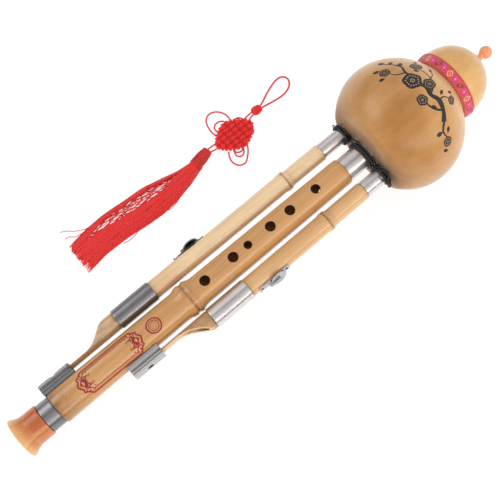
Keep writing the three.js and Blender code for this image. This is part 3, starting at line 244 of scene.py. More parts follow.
class HulusiColours(bpy.types.PropertyGroup):
    """Colours of the flute and the tassel"""
    gourd_pale: colour_prop("Gourd pale", "Lighter patches of the gourd's skin", "EEBA72")
    gourd_deep: colour_prop("Gourd deep", "Darker patches of the gourd's skin", "A86A22")
    # Darker skin beside the collars: partly stained, partly painted shade
    gourd_stain_and_shade: colour_prop("Gourd stain", "Skin beside the cord collars", "5C2C0C")
    bamboo_left: colour_prop("Left bamboo", "Left drone's bamboo", "F0D0A4")
    bamboo_main: colour_prop("Main bamboo", "Main pipe's bamboo", "D09A5C")
    bamboo_right: colour_prop("Right bamboo", "Right drone's bamboo", "E0B27A")
    bamboo_grain: colour_prop("Bamboo grain", "Fibres and scars of the bamboo", "8A4F22")
    bamboo_cut: colour_prop("Cut bamboo", "Bare cut bamboo", "F2D6AE")
    # Hole wall also paints shade in the screws' slots
    hole_wall: colour_prop("Hole wall", "Scorched wall of the drilled holes", "3A1F10")
    silver: colour_prop("Silver", "Plated ferrules and right sleeve", "F0E8E6")
    silver_dark: colour_prop("Dark silver", "Foot sleeve, left sleeve, left clip and left switch", "9C9A9E")
    silver_mid: colour_prop("Middle silver", "Right clip and right switch", "CCC8C8")
    # Steel also paints shade in the folds of the clips
    steel: colour_prop("Steel", "Screws and the folds of the clips", "8C8782")
    brass: colour_prop("Brass", "Reed tubes and plates", "C09A4C")
    amber: colour_prop("Amber", "Bell's body", "C0602A")
    # Pale amber also paints light on the bell's side towards the lamps
    amber_pale: colour_prop("Pale amber", "Bell's rim and clouds", "F2BE78")
    orange: colour_prop("Orange", "Mouthpiece", "F59055")
    black: colour_prop("Black cord", "Cord collars", "0C0E12")
    red: colour_prop("Red cord", "Tassel", "FC2C2A")
    # Deep red also paints shade in the hollows between the strands
    red_deep: colour_prop("Deep red", "Hollows between the tassel's strands", "B8121E")
    ribbon_ground: colour_prop("Ribbon ground", "Ribbon's ground weave", "F04E2C")
    ribbon_edge: colour_prop("Ribbon edge", "Ribbon's woven edge lines", "9C1F22")
    ribbon_flower: colour_prop("Ribbon flower", "Ribbon's flowers", "EE3C94")
    ribbon_leaf: colour_prop("Ribbon leaf", "Ribbon's leaves", "6E2A6A")
    ribbon_cream: colour_prop("Ribbon cream", "Ribbon's chevrons", "F3D2B4")
    print_red: colour_prop("Print", "Printed marks on the main pipe", "A0161C")
    ink: colour_prop("Ink", "Drawing on the gourd", "22171A")
    ink_pale: colour_prop("Pale ink", "Dots inside the drawn blossoms", "D8B084")
    wax: colour_prop("Wax", "Wax inside the gourd", "5A3E24")
    rubber: colour_prop("Rubber", "Switch and clip pads", "1E1A18")


def sizes():
    return bpy.context.scene.hulusi_sizes


def colours():
    return bpy.context.scene.hulusi_colours


# Shader nodes
class Nodes:
    """Adds nodes to a tree; inputs are values or other nodes' sockets"""

    def __init__(self, tree):
        self.tree = tree

    def add(self, kind, inputs=None, **settings):
        node = self.tree.nodes.new(kind)
        for key, value in settings.items():
            setattr(node, key, value)
        for key, value in (inputs or {}).items():
            self.feed(node.inputs[key], value)
        return node

    def feed(self, socket, value):
        if isinstance(value, bpy.types.NodeSocket):
            self.tree.links.new(value, socket)
        elif socket.type == "RGBA" and len(value) == 3:
            socket.default_value = (*value, 1)
        else:
            socket.default_value = value

    def math(self, operation, a, b=0.0, clamp=False):
        node = self.add("ShaderNodeMath", {0: a, 1: b}, operation=operation, use_clamp=clamp)
        return node.outputs[0]

    def times(self, a, b, clamp=False):
        return self.math("MULTIPLY", a, b, clamp)

    def plus(self, a, b, clamp=False):
        return self.math("ADD", a, b, clamp)

    def times_plus(self, a, b, added):
        product = self.math("MULTIPLY_ADD", a, b)
        product.node.inputs[2].default_value = added
        return product

    def mix(self, share, a, b, blend="MIX"):
        node = self.add("ShaderNodeMix", {0: share, 6: a, 7: b}, data_type="RGBA", blend_type=blend)
        return node.outputs[2]

    def remap(self, value, low, high, to_low=0.0, to_high=1.0, smooth=False):
        kind = "SMOOTHSTEP" if smooth else "LINEAR"
        given = {0: value, 1: low, 2: high, 3: to_low, 4: to_high}
        return self.add("ShaderNodeMapRange", given, interpolation_type=kind).outputs[0]

    def noise(self, vector, scale=1.0, detail=3.0, roughness=0.55, distortion=0.0):
        node = self.add("ShaderNodeTexNoise", {
            "Vector": vector, "Scale": scale, "Detail": detail, "Roughness": roughness, "Distortion": distortion,
        })
        return node.outputs["Fac"]

    def stretched(self, vector, scale, detail, **more):
        """Noise with a scale of its own along each axis, so that it makes streaks"""
        drawn_out = self.add("ShaderNodeMapping", {"Vector": vector, "Scale": scale}).outputs[0]
        return self.noise(drawn_out, detail=detail, **more)

    def attribute(self, name):
        return self.add("ShaderNodeAttribute", attribute_name=name)


SURFACE_OUTPUTS = (("Color", "colour"), ("Roughness", "value"), ("Height", "value"))


def new_group(name, inputs):
    """Empty shader node group with typed sockets; returns its nodes and inputs"""
    tree = bpy.data.node_groups.new(name, "ShaderNodeTree")
    kinds = {"vector": "NodeSocketVector", "colour": "NodeSocketColor", "value": "NodeSocketFloat"}
    for label, kind, default in inputs:
        socket = tree.interface.new_socket(label, in_out="INPUT", socket_type=kinds[kind])
        if default is not None:
            socket.default_value = (*default, 1) if kind == "colour" else default
    for label, kind in SURFACE_OUTPUTS:
        tree.interface.new_socket(label, in_out="OUTPUT", socket_type=kinds[kind])
    nodes = Nodes(tree)
    return nodes, nodes.add("NodeGroupInput").outputs


def surface_tree(nodes, *values):
    """Ends a group with its colour, roughness and height; returns its tree"""
    result = nodes.add("NodeGroupOutput").inputs
    for (label, _), value in zip(SURFACE_OUTPUTS, values):
        nodes.feed(result[label], value)
    return nodes.tree


def bamboo_group():
    """Lacquered bamboo: long fibres, short flecks, broad bands and stained scars"""
    nodes, given = new_group("BambooGrain", (
        ("Vector", "vector", None), ("Pale", "colour", (0.7, 0.5, 0.3)), ("Grain", "colour", (0.3, 0.1, 0.05)),
        ("Stain", "value", 0.0), ("Fleck", "value", 0.5), ("Gloss", "value", 0.3),
    ))
    vector = given["Vector"]
    fine = nodes.stretched(vector, (14, 950, 950), 3)
    broad = nodes.stretched(vector, (5, 210, 210), 2)
    patch = nodes.stretched(vector, (22, 60, 60), 2)
    fleck = nodes.remap(nodes.stretched(vector, (110, 1300, 1300), 1), 0.63, 0.72)
    fleck = nodes.times(fleck, nodes.remap(patch, 0.35, 0.75))
    fleck = nodes.times(fleck, given["Fleck"], clamp=True)
    colour = given["Pale"]
    for value, low, high, share, tint, blend in (
        (broad, 0.4, 0.75, 0.34, given["Grain"], "MIX"), (fine, 0.5, 0.78, 0.28, (0.9, 0.72, 0.45), "SOFT_LIGHT"),
        (fine, 0.5, 0.25, 0.3, given["Grain"], "MIX"), (fleck, 0, 1, 0.6, given["Grain"], "MIX"),
        (patch, 0.45, 0.7, 0.3, (0.62, 0.27, 0.08), "MIX"),
    ):
        colour = nodes.mix(nodes.remap(value, low, high, 0, share), colour, tint, blend)
    blotch = nodes.remap(nodes.stretched(vector, (160, 300, 300), 4), 0.3, 0.7, 0.45, 1.0)
    stained = nodes.times(given["Stain"], blotch, clamp=True)
    colour = nodes.mix(stained, colour, nodes.mix(0.45, given["Grain"], (0.03, 0.012, 0.006)))
    smudge = nodes.stretched(vector, (50, 90, 90), 3)
    rough = nodes.plus(given["Gloss"], nodes.remap(smudge, 0.3, 0.7, -0.05, 0.12))
    return surface_tree(nodes, colour, rough, nodes.math("SUBTRACT", nodes.times(fine, 0.5), nodes.times(fleck, 0.5)))


def gourd_group():
    """Lacquered gourd skin, deeper towards the base: cloudy patches, faint streaks, pores, and darker skin beside the
    collars that is partly stained and partly painted shade
    """
    nodes, given = new_group("GourdSkin", (
        ("Vector", "vector", None), ("Pale", "colour", (0.6, 0.35, 0.12)), ("Deep", "colour", (0.45, 0.22, 0.06)),
        ("Stain Color", "colour", (0.3, 0.1, 0.02)), ("Stain", "value", 0.0),
    ))
    vector = given["Vector"]
    cloud = nodes.noise(vector, 24, 3, 0.5, 0.4)
    blotch = nodes.noise(vector, 95, 4, 0.6)
    streak = nodes.stretched(vector, (16, 120, 120), 2)
    pore = nodes.remap(nodes.noise(vector, 900, 1, 0.4), 0.66, 0.74)
    share = nodes.plus(nodes.remap(cloud, 0.32, 0.68, 0, 0.28), nodes.remap(streak, 0.35, 0.7, 0, 0.14))
    along = nodes.add("ShaderNodeSeparateXYZ", {0: vector}).outputs[0]
    share = nodes.plus(share, nodes.remap(along, 0.335, 0.412, 0.58, 0.0, smooth=True), clamp=True)
    colour = nodes.mix(share, given["Pale"], given["Deep"])
    colour = nodes.mix(nodes.remap(blotch, 0.42, 0.7, 0, 0.16), colour, (0.38, 0.16, 0.04))
    colour = nodes.mix(nodes.times(pore, 0.25), colour, (0.2, 0.08, 0.02))
    edge = nodes.remap(nodes.noise(vector, 130, 3), 0.3, 0.7, 0.55, 1.0)
    # Darker skin beside the collars: partly stained, partly painted shade
    colour = nodes.mix(nodes.times(given["Stain"], edge, clamp=True), colour, given["Stain Color"])
    rough = nodes.remap(nodes.noise(vector, 60, 4), 0.3, 0.7, 0.24, 0.36)
    rough = nodes.plus(rough, nodes.times(given["Stain"], 0.4), clamp=True)
    return surface_tree(nodes, colour, rough, nodes.plus(nodes.times(blotch, 0.5), nodes.times(pore, -0.4)))


def metal_group():
    """Drawn metal: fine lines along the tube, broad streaks along it that are partly the metal's tone and partly
    painted reflection, smudges and small scratches
    """
    nodes, given = new_group("DrawnMetal", (
        ("Vector", "vector", None), ("Bright", "colour", (0.6, 0.6, 0.6)), ("Dull", "colour", (0.4, 0.38, 0.37)),
        ("Base Roughness", "value", 0.2),
    ))
    vector = given["Vector"]
    line = nodes.stretched(vector, (12, 800, 800), 2)
    smudge = nodes.noise(vector, 85, 4, 0.6)
    scratch = nodes.remap(nodes.stretched(vector, (60, 1500, 700), 1), 0.68, 0.75)
    # Broad darker streaks along the tube, at random places: partly the drawn metal's tone, partly painted reflection
    # of dark surroundings
    broad = nodes.stretched(vector, (4, 240, 240), 2)
    share = nodes.plus(nodes.remap(smudge, 0.35, 0.7, 0, 0.2), nodes.remap(line, 0.3, 0.7, 0, 0.2))
    share = nodes.plus(share, nodes.remap(broad, 0.4, 0.65, 0, 0.55), clamp=True)
    colour = nodes.mix(share, given["Bright"], given["Dull"])
    rough = nodes.plus(given["Base Roughness"], nodes.remap(smudge, 0.3, 0.75, 0, 0.05))
    rough = nodes.plus(rough, nodes.times(scratch, 0.06), clamp=True)
    return surface_tree(nodes, colour, rough, nodes.math("SUBTRACT", line, nodes.times(scratch, 0.5)))


def cord_group():
    """Laid cord: fine filaments that run with the strands, hollows darkened with painted shade, and fuzz"""
    nodes, given = new_group("CordLay", (
        ("Along", "value", 0.0), ("Around", "value", 0.0), ("Groove", "value", 0.0), ("Tone", "value", 0.5),
        ("Vector", "vector", None), ("Bright", "colour", (0.7, 0.01, 0.02)), ("Deep", "colour", (0.2, 0, 0.01)),
        ("Filaments", "value", 12.0),
    ))
    turns = nodes.plus(nodes.times(given["Around"], given["Filaments"]), nodes.times(given["Along"], 900))
    wave = nodes.math("SINE", nodes.times(turns, TURN))
    fuzz = nodes.noise(given["Vector"], 2600, 2)
    # The groove share paints shade into the hollows between strands
    hollow, fibre = nodes.remap(given["Groove"], 0.35, 1.0, 0, 0.3), nodes.remap(wave, -1, 0.6, 0.12, 0)
    dark = nodes.plus(hollow, fibre, clamp=True)
    colour = nodes.mix(dark, given["Bright"], given["Deep"])
    colour = nodes.mix(nodes.remap(given["Tone"], 0, 1, 0.42, 0), colour, given["Deep"])
    colour = nodes.mix(nodes.remap(fuzz, 0.55, 0.8, 0, 0.06), colour, (1, 0.6, 0.55))
    rough = nodes.remap(fuzz, 0.3, 0.7, 0.42, 0.68)
    return surface_tree(nodes, colour, rough, nodes.plus(nodes.times(wave, 0.4), fuzz))


def plastic_group():
    """Cloudy moulded plastic: swirls of a paler and a deeper colour, soft dents"""
    nodes, given = new_group("CloudyPlastic", (
        ("Vector", "vector", None), ("Body", "colour", (0.6, 0.2, 0.05)), ("Pale", "colour", (0.8, 0.5, 0.2)),
        ("Deep", "colour", (0.4, 0.08, 0.02)), ("Pale Share", "value", 0.0),
    ))
    vector = given["Vector"]
    swirl = nodes.noise(vector, 34, 2, 0.5, 1.0)
    vein = nodes.stretched(vector, (50, 110, 110), 2, distortion=1)
    colour = nodes.mix(nodes.remap(swirl, 0.45, 0.8, 0, 0.5, smooth=True), given["Body"], given["Pale"])
    colour = nodes.mix(nodes.remap(vein, 0.5, 0.3, 0, 0.25, smooth=True), colour, given["Deep"])
    colour = nodes.mix(given["Pale Share"], colour, given["Pale"])
    dent = nodes.noise(vector, 240, 3)
    return surface_tree(nodes, colour, nodes.remap(dent, 0.3, 0.7, 0.2, 0.36), dent)


def matt_group():
    """Plain matt stuff, such as ink, wax, rubber and bare wood: grain of two sizes"""
    nodes, given = new_group("MattGrain", (
        ("Vector", "vector", None), ("Body", "colour", (0.5, 0.5, 0.5)), ("Spots", "colour", (0.2, 0.2, 0.2)),
        ("Grain Size", "value", 800.0), ("Base Roughness", "value", 0.6),
    ))
    coarse = nodes.noise(given["Vector"], 140, 3)
    grain = nodes.noise(given["Vector"], given["Grain Size"], 3)
    share = nodes.plus(nodes.remap(coarse, 0.4, 0.75, 0, 0.3), nodes.remap(grain, 0.45, 0.8, 0, 0.4))
    rough = nodes.plus(given["Base Roughness"], nodes.remap(grain, 0.3, 0.7, -0.06, 0.1))
    return surface_tree(nodes, nodes.mix(share, given["Body"], given["Spots"]), rough, grain)


GROUPS = {
    "bamboo": bamboo_group, "gourd": gourd_group, "metal": metal_group, "cord": cord_group,
    "plastic": plastic_group, "matt": matt_group,
}


def group_named(kind):
    made = GROUPS[kind]
    if callable(made):
        GROUPS[kind] = made = made()
    return made


def frame_coordinates(nodes, place):
    """Object coordinates turned into a piece's own frame, in metres"""
    where = nodes.add("ShaderNodeTexCoord").outputs["Object"]
    at = {"Location": place.to_translation() * MM, "Rotation": place.to_euler("XYZ")}
    return nodes.add("ShaderNodeMapping", {"Vector": where, **at}, vector_type="TEXTURE").outputs[0]


def bumped(nodes, strength, depth, height):
    """Normal with bumps up to a depth in millimetres"""
    given = {"Strength": strength, "Distance": depth * MM, "Height": height}
    return nodes.add("ShaderNodeBump", given).outputs["Normal"]


def finish(name, kind, place="flute", bump=0.3, depth=0.1, values=None, sockets=None, **constants):
    """Material whose colour, roughness and bump come from a shared group"""
    material = bpy.data.materials.new(name)
    material.use_nodes = True
    nodes = Nodes(material.node_tree)
    shader = material.node_tree.nodes["Principled BSDF"]
    for key, value in constants.items():
        nodes.feed(shader.inputs[key.replace("_", " ")], value)
    group = nodes.add("ShaderNodeGroup", node_tree=group_named(kind))
    nodes.feed(group.inputs["Vector"], frame_coordinates(nodes, PLACES[place]))
    for key, value in (values or {}).items():
        nodes.feed(group.inputs[key], value)
    for key, attribute in (sockets or {}).items():
        nodes.feed(group.inputs[key], nodes.attribute(attribute).outputs["Fac"])
    nodes.feed(shader.inputs["Base Color"], group.outputs["Color"])
    nodes.feed(shader.inputs["Roughness"], group.outputs["Roughness"])
    nodes.feed(shader.inputs["Normal"], bumped(nodes, bump, depth, group.outputs["Height"]))
    return material


FINISHES = {}


def shared(name, maker):
    """A finish or a node tree made once, at its first use"""
    if name not in FINISHES:
        FINISHES[name] = maker()
    return FINISHES[name]


def bamboo(side, place):
    pale = getattr(colours(), "bamboo_" + side)
    fleck = DRONES[side]["fleck"] if side in DRONES else MAIN_FLECK
    return shared("bamboo_" + side, lambda: finish(
        "LacqueredBamboo_" + side, "bamboo", place, bump=0.25, depth=0.12,
        values={"Pale": pale, "Grain": colours().bamboo_grain, "Fleck": fleck, "Gloss": 0.3},
        sockets={"Stain": "stain"}, Coat_Weight=0.8, Coat_Roughness=0.04,
    ))


def cut_bamboo():
    return shared("cut", lambda: finish(
        "CutBamboo_flute", "bamboo", bump=0.5, depth=0.2,
        values={"Pale": colours().bamboo_cut, "Grain": colours().bamboo_grain, "Fleck": 1.0, "Gloss": 0.55},
    ))


def matt_finish(name, body, spots, grain, rough=0.6, bump=0.2, depth=0.05, **constants):
    values = {"Body": body, "Spots": spots, "Grain Size": grain, "Base Roughness": rough}
    return finish(name, "matt", bump=bump, depth=depth, values=values, **constants)


def metal_finish(name, place, bright, dull, rough, bump, depth):
    values = {"Bright": bright, "Dull": dull, "Base Roughness": rough}
    return finish(name, "metal", place, bump=bump, depth=depth, values=values, Metallic=1.0)


def hole_wall():
    black = (0.004, 0.002, 0.001)
    # Scorched holes in the bamboo, and painted shade in the screws' slots
    return shared("hole", lambda: matt_finish("ScorchedHole", colours().hole_wall, black, 900, bump=0.4, depth=0.1))


def silver(place="flute", rough=0.27, tone="light"):
    bright = getattr(colours(), {"light": "silver", "mid": "silver_mid", "dark": "silver_dark"}[tone])
    dull = [0.6 * channel for channel in bright]
    name = f"PlatedMetal_{tone}_{place}"
    return shared(f"{name}_{rough}", lambda: metal_finish(name, place, bright, dull, rough, 0.02, 0.005))


def steel():
    dull = (0.12, 0.11, 0.1)
    return shared("steel", lambda: metal_finish("DarkSteel_flute", "flute", colours().steel, dull, 0.28, 0.3, 0.05))


def red_fibre(name, bump, depth, filaments, fields, tint, sheen, glow):
    """Finish of red cord or thread, whose fibres let some light in"""
    return shared(name, lambda: finish(
        name, "cord", "table", bump=bump, depth=depth,
        values={"Bright": colours().red, "Deep": colours().red_deep, "Filaments": filaments},
        sockets={field: field.lower() for field in fields},
        Sheen_Weight=sheen, Sheen_Roughness=0.5, Sheen_Tint=tint,
        Subsurface_Weight=glow, Subsurface_Radius=(0.0015, 0.0002, 0.0002),
    ))


def red_cord():
    fields = ("Along", "Around", "Groove", "Tone")
    return red_fibre("RedCord", 0.3, 0.05, 9.0, fields, tint=(1, 0.3, 0.25, 1), sheen=0.5, glow=0.3)


def red_thread():
    fields = ("Along", "Around", "Tone")
    return red_fibre("RedThread", 0.15, 0.02, 5.0, fields, tint=(1, 0.35, 0.3, 1), sheen=0.7, glow=0.4)


# Dark red finish of the knot's core: painted shade seen through the gaps between strands
def knot_gap_shade():
    return shared("red core", lambda: finish(
        "RedCore", "cord", "table", bump=0.4, depth=0.12,
        values={"Bright": colours().red_deep, "Deep": (0.1, 0.003, 0.006), "Filaments": 9.0, "Tone": 1.0},
    ))


def black_cord():
    return shared("black", lambda: finish(
        "BlackCord", "cord", "flute", bump=0.15, depth=0.04,
        values={"Bright": colours().black, "Deep": (0.0012, 0.0012, 0.0015), "Filaments": 6.0},
        sockets={"Along": "along", "Around": "around", "Groove": "groove", "Tone": "tone"},
        Coat_Weight=0.5, Coat_Roughness=0.2,
    ))


# Mesh building
def linked(name, data):
    """New object in the scene"""
    thing = bpy.data.objects.new(name, data)
    bpy.context.scene.collection.objects.link(thing)
    return thing


class Form:
    """Points, faces and corner UVs gathered in millimetres, then made into one closed object"""

    def __init__(self):
        self.points = []
        self.faces = []
        self.corners = []
        self.finishes = []
        self.count = 0

    def loft(self, rings, loop=False, poles=(None, None), lengths=None, finish=0):
        rings = np.asarray(rings, float)
        count, sides = rings.shape[:2]
        points = list(rings.reshape(-1, 3))
        rows = np.arange(count, dtype=float) if lengths is None else np.asarray(lengths, float)
        rows = np.append(rows, rows[-1] + 1)
        faces, corners = [], []
        for i in range(count if loop else count - 1):
            low, high = i * sides, ((i + 1) % count) * sides
            for j in range(sides):
                m = (j + 1) % sides
                faces.append((low + j, low + m, high + m, high + j))
                u0, u1, v0, v1 = j / sides, (j + 1) / sides, rows[i], rows[i + 1]
                corners.append(((u0, v0), (u1, v0), (u1, v1), (u0, v1)))
        if not loop:
            for end, pole in ((0, poles[0]), (count - 1, poles[1])):
                points.append(rings[end].mean(axis=0) if pole is None else np.asarray(pole, float))
                tip = len(points) - 1
                for j in range(sides):
                    a, b = end * sides + j, end * sides + (j + 1) % sides
                    face = (b, a, tip) if end == 0 else (a, b, tip)
                    faces.append(face)
                    corners.append(tuple((k / sides, rows[end]) for k in (j, j + 1, j)))
        array = np.array(points)
        if signed_volume(array, faces) < 0:
            faces = [f[::-1] for f in faces]
            corners = [c[::-1] for c in corners]
        self.faces += [tuple(k + self.count for k in f) for f in faces]
        self.corners += corners
        self.finishes += [finish] * len(faces)
        self.points += points
        self.count += len(points)

    def object(self, name, materials, place=FLUTE, sharp=40, stain=None):
        local = np.array(self.points)
        matrix = np.array(place)
        world = (local @ matrix[:3, :3].T + matrix[:3, 3]) * MM
        mesh = bpy.data.meshes.new(name)
        mesh.from_pydata(world.tolist(), [], self.faces)
        layer = mesh.uv_layers.new(name="UVMap")
        flat = np.array([uv for corner in self.corners for uv in corner], np.float32)
        layer.data.foreach_set("uv", flat.ravel())
        mesh.polygons.foreach_set("material_index", self.finishes)
        # This attribute holds stains, and also painted shade beside the gourd's collars and a painted highlight on
        # the bell's lamp side
        if stain is not None:
            values = np.clip(stain(local), 0, 1).astype(np.float32)
            mesh.attributes.new("stain", "FLOAT", "POINT").data.foreach_set("value", values)
        for material in materials:
            mesh.materials.append(material)
        piece = linked(name, mesh)
        smooth(piece, sharp)
        return piece


def lofted(name, rings, material, place=FLUTE, sharp=40, **shape):
    """Object made of one loft"""
    form = Form()
    form.loft(rings, **shape)
    return form.object(name, [material], place, sharp)


def prism(name, section, places, material, place):
    """Straight solid along X over a section of Y and Z pairs"""
    return lofted(name, [[(x, y, z) for y, z in section] for x in places], material, place)


def signed_volume(points, faces):
    triangles = [(f[0], f[k], f[k + 1]) for f in faces for k in range(1, len(f) - 1)]
    a, b, c = (points[np.array(column)] for column in zip(*triangles))
    middle = points.mean(axis=0)
    return float(np.einsum("ij,ij->", a - middle, np.cross(b - middle, c - middle)))


def smooth(piece, sharp=40):
    piece.data.shade_smooth()
    piece.data.set_sharp_from_angle(angle=math.radians(sharp))


def settle(piece, sharp=40):
    """Turns a piece's modifiers into plain mesh"""
    graph = bpy.context.evaluated_depsgraph_get()
    shown = piece.evaluated_get(graph)
    mesh = bpy.data.meshes.new_from_object(shown, preserve_all_data_layers=True, depsgraph=graph)
    piece.modifiers.clear()
    old = piece.data
    piece.data = mesh
    bpy.data.meshes.remove(old)
    mesh.name = piece.name
    if sharp:
        smooth(piece, sharp)
    return piece


def carve(piece, cutters, sharp=40):
    """Cuts solids away, which give their own finish to the faces they leave"""
    for cutter in cutters:
        modifier = piece.modifiers.new("Cut", "BOOLEAN")
        modifier.operation = "DIFFERENCE"
        modifier.solver = "EXACT"
        modifier.object = cutter
        modifier.material_mode = "TRANSFER"
    settle(piece, sharp)
    for cutter in cutters:
        bpy.data.objects.remove(cutter)
    return piece


def bevel(piece, width, angle, segments=2):
    modifier = piece.modifiers.new("Edge", "BEVEL")
    modifier.width = width * MM
    modifier.segments = segments
    modifier.limit_method = "ANGLE"
    modifier.angle_limit = math.radians(angle)
    modifier.harden_normals = False
    return settle(piece)


def mount(piece, body, slot, *nodes):
    """Rides on a body and stands for CAD nodes, which it hides; its slot is not used"""
    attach(piece, body)
    if nodes:
        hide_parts(*nodes)
    return piece


def rounded(points, radius, steps=4, closed=True):
    """Polygon with its corners rounded by up to a radius"""
    points = [np.array(p[:2], float) for p in points]
    out = []
    count = len(points)
    for i, corner in enumerate(points):
        if not closed and i in (0, count - 1):
            out.append(tuple(corner))
            continue
        before, after = points[i - 1], points[(i + 1) % count]
        back, ahead = before - corner, after - corner
        reach = min(radius, np.linalg.norm(back) * 0.45, np.linalg.norm(ahead) * 0.45)
        a = corner + back / np.linalg.norm(back) * reach
        b = corner + ahead / np.linalg.norm(ahead) * reach
        for t in np.linspace(0, 1, steps + 1):
            out.append(tuple((1 - t) ** 2 * a + 2 * t * (1 - t) * corner + t * t * b))
    return out


def refined(profile, step, closed=True):
    """Profile with long spans divided"""
    out = []
    for (x1, r1), (x2, r2) in zip(profile, [*profile[1:], *(profile[:1] if closed else ())]):
        parts = max(1, math.ceil(math.hypot(x2 - x1, r2 - r1) / step))
        out += [(x1 + (x2 - x1) * k / parts, r1 + (r2 - r1) * k / parts) for k in range(parts)]
    return out if closed else out + [profile[-1]]


def open_wall(outer, inner, outer_step, inner_step):
    """Section of a bored piece: its outside from end to end, then its bore back"""
    return refined(outer, outer_step, closed=False) + refined(inner, inner_step, closed=False)


def turn_steps(count):
    return np.linspace(0, TURN, count, endpoint=False)


def lathe_rings(profile, sides, wobble=None):
    angles = turn_steps(sides)
    x, r = np.array(profile, float).T
    radius = np.repeat(r[:, None], sides, axis=1)
    if wobble is not None:
        radius = radius + wobble(x[:, None], angles[None, :]) * (r[:, None] > 0)
    along = np.repeat(x[:, None], sides, axis=1)
    return np.stack([along, radius * np.cos(angles), radius * np.sin(angles)], axis=2)


def turned(name, profile, sides, materials, place=FLUTE, wobble=None, stain=None, sharp=40):
    """Turned solid, from a closed section or from one that starts and ends on the axis"""
    form = Form()
    if profile[0][1] <= 0:
        rings = lathe_rings(profile[1:-1], sides, wobble)
        form.loft(rings, poles=((profile[0][0], 0, 0), (profile[-1][0], 0, 0)))
    else:
        form.loft(lathe_rings(profile, sides, wobble), loop=True)
    return form.object(name, materials, place, sharp, stain)


def drill(at, direction, low, high, radius, place=FLUTE, surface=None, edge=0.0, material=None, sides=48):
    """Cutter rod from low to high above the axis, along +Z, -Z or +Y of the piece's frame.

    With a surface radius it flares where it leaves the pipe, so that the hole's edge comes out rounded.
    """
    angles = turn_steps(sides)
    levels = [(np.full(sides, float(low)), radius)]
    if surface:
        skin = np.sqrt(surface**2 - ((radius + edge) * np.sin(angles)) ** 2)
        for t in np.linspace(0, math.pi / 2, 5):
            levels.append((skin - edge * (1 - math.sin(t)), radius + edge * (1 - math.cos(t))))
    levels.append((np.full(sides, float(high)), radius + edge))
    rings = np.array([np.stack([r * np.cos(angles), r * np.sin(angles), z], axis=1) for z, r in levels])
    x, y, z = np.moveaxis(rings, 2, 0)
    y, z = {"up": (y, z), "down": (y, -z), "out": (z, y)}[direction]
    return lofted("cutter", np.stack([x + at, y, z], axis=2), material or hole_wall(), place)


def spline(points, step=None, count=None):
    """Evenly spaced points on a centripetal curve through the given ones"""
    knots = [np.array(p, float) for p in points]
    knots = [2 * knots[0] - knots[1], *knots, 2 * knots[-1] - knots[-2]]
    out = []
    for a, b, c, d in zip(knots, knots[1:], knots[2:], knots[3:]):
        t0, t1, t2 = (max(float(np.linalg.norm(q - p)), 1e-6) ** 0.5 for p, q in ((a, b), (b, c), (c, d)))
        m1 = ((b - a) / t0 - (c - a) / (t0 + t1) + (c - b) / t1) * t1
        m2 = ((c - b) / t1 - (d - b) / (t1 + t2) + (d - c) / t2) * t1
        for t in np.linspace(0, 1, 16, endpoint=False):
            out.append(
                (2 * t**3 - 3 * t**2 + 1) * b + (t**3 - 2 * t**2 + t) * m1
                + (3 * t**2 - 2 * t**3) * c + (t**3 - t**2) * m2
            )
    out = np.array([*out, knots[-2]])
    travelled = np.concatenate([[0], np.cumsum(np.linalg.norm(np.diff(out, axis=0), axis=1))])
    count = count or max(2, round(travelled[-1] / step) + 1)
    where = np.linspace(0, travelled[-1], count)
    return np.stack([np.interp(where, travelled, out[:, k]) for k in range(out.shape[1])], axis=1)


# Geometry Nodes: laid cord along paths
# How strongly the groove attribute paints shade into the hollows between strands
GROOVE_SHADE = 6.0


def laid_cord_tree():
    """Paths become cords: a lobed section that twists along each path"""
    tree = bpy.data.node_groups.new("LaidCord", "GeometryNodeTree")
    sockets = {}
    for label, kind in (
        ("Geometry", "Geometry"), ("Radius", "Float"), ("Sides", "Int"), ("Strands", "Int"), ("Hollow", "Float"),
        ("Lay Length", "Float"), ("Material", "Material"),
    ):
        socket = tree.interface.new_socket(label, in_out="INPUT", socket_type="NodeSocket" + kind)
        sockets[label] = socket.identifier
    tree.interface.new_socket("Geometry", in_out="OUTPUT", socket_type="NodeSocketGeometry")
    nodes = Nodes(tree)
    given = nodes.add("NodeGroupInput").outputs

    def made(kind, inputs, **settings):
        return nodes.add(kind, inputs, **settings).outputs[0]

    def stored(geometry, name, value):
        inputs = {"Geometry": geometry, "Name": name, "Value": value}
        return made("GeometryNodeStoreNamedAttribute", inputs, data_type="FLOAT", domain="POINT")

    path = made("GeometryNodeMeshToCurve", {0: given["Geometry"]})
    length = nodes.add("GeometryNodeSplineParameter").outputs["Length"]
    tilt = nodes.times(nodes.math("DIVIDE", length, given["Lay Length"]), TURN)
    path = stored(made("GeometryNodeSetCurveTilt", {"Curve": path, "Tilt": tilt}), "along", length)
    section = made("GeometryNodeCurvePrimitiveCircle", {"Resolution": given["Sides"], "Radius": given["Radius"]})
    around = nodes.add("GeometryNodeSplineParameter").outputs["Factor"]
    lobes = nodes.times(nodes.times(around, given["Strands"]), TURN)
    groove = nodes.times_plus(nodes.math("COSINE", lobes), -0.5, 0.5)
    shrink = nodes.math("SUBTRACT", 1.0, nodes.times(groove, given["Hollow"]))
    # The groove attribute stored below is painted shade for the hollows
    shown = nodes.times(groove, nodes.times(given["Hollow"], GROOVE_SHADE, clamp=True))
    spot = made("GeometryNodeInputPosition", {})
    scaled = made("ShaderNodeVectorMath", {0: spot, "Scale": shrink}, operation="SCALE")
    section = made("GeometryNodeSetPosition", {"Geometry": section, "Position": scaled})
    section = stored(stored(section, "around", around), "groove", shown)
    cord = made("GeometryNodeCurveToMesh", {"Curve": path, "Profile Curve": section, "Fill Caps": True})
    cord = made("GeometryNodeRealizeInstances", {"Geometry": cord})
    cord = made("GeometryNodeSetMaterial", {"Geometry": cord, "Material": given["Material"]})
    nodes.feed(nodes.add("NodeGroupOutput").inputs["Geometry"], cord)
    return tree, sockets


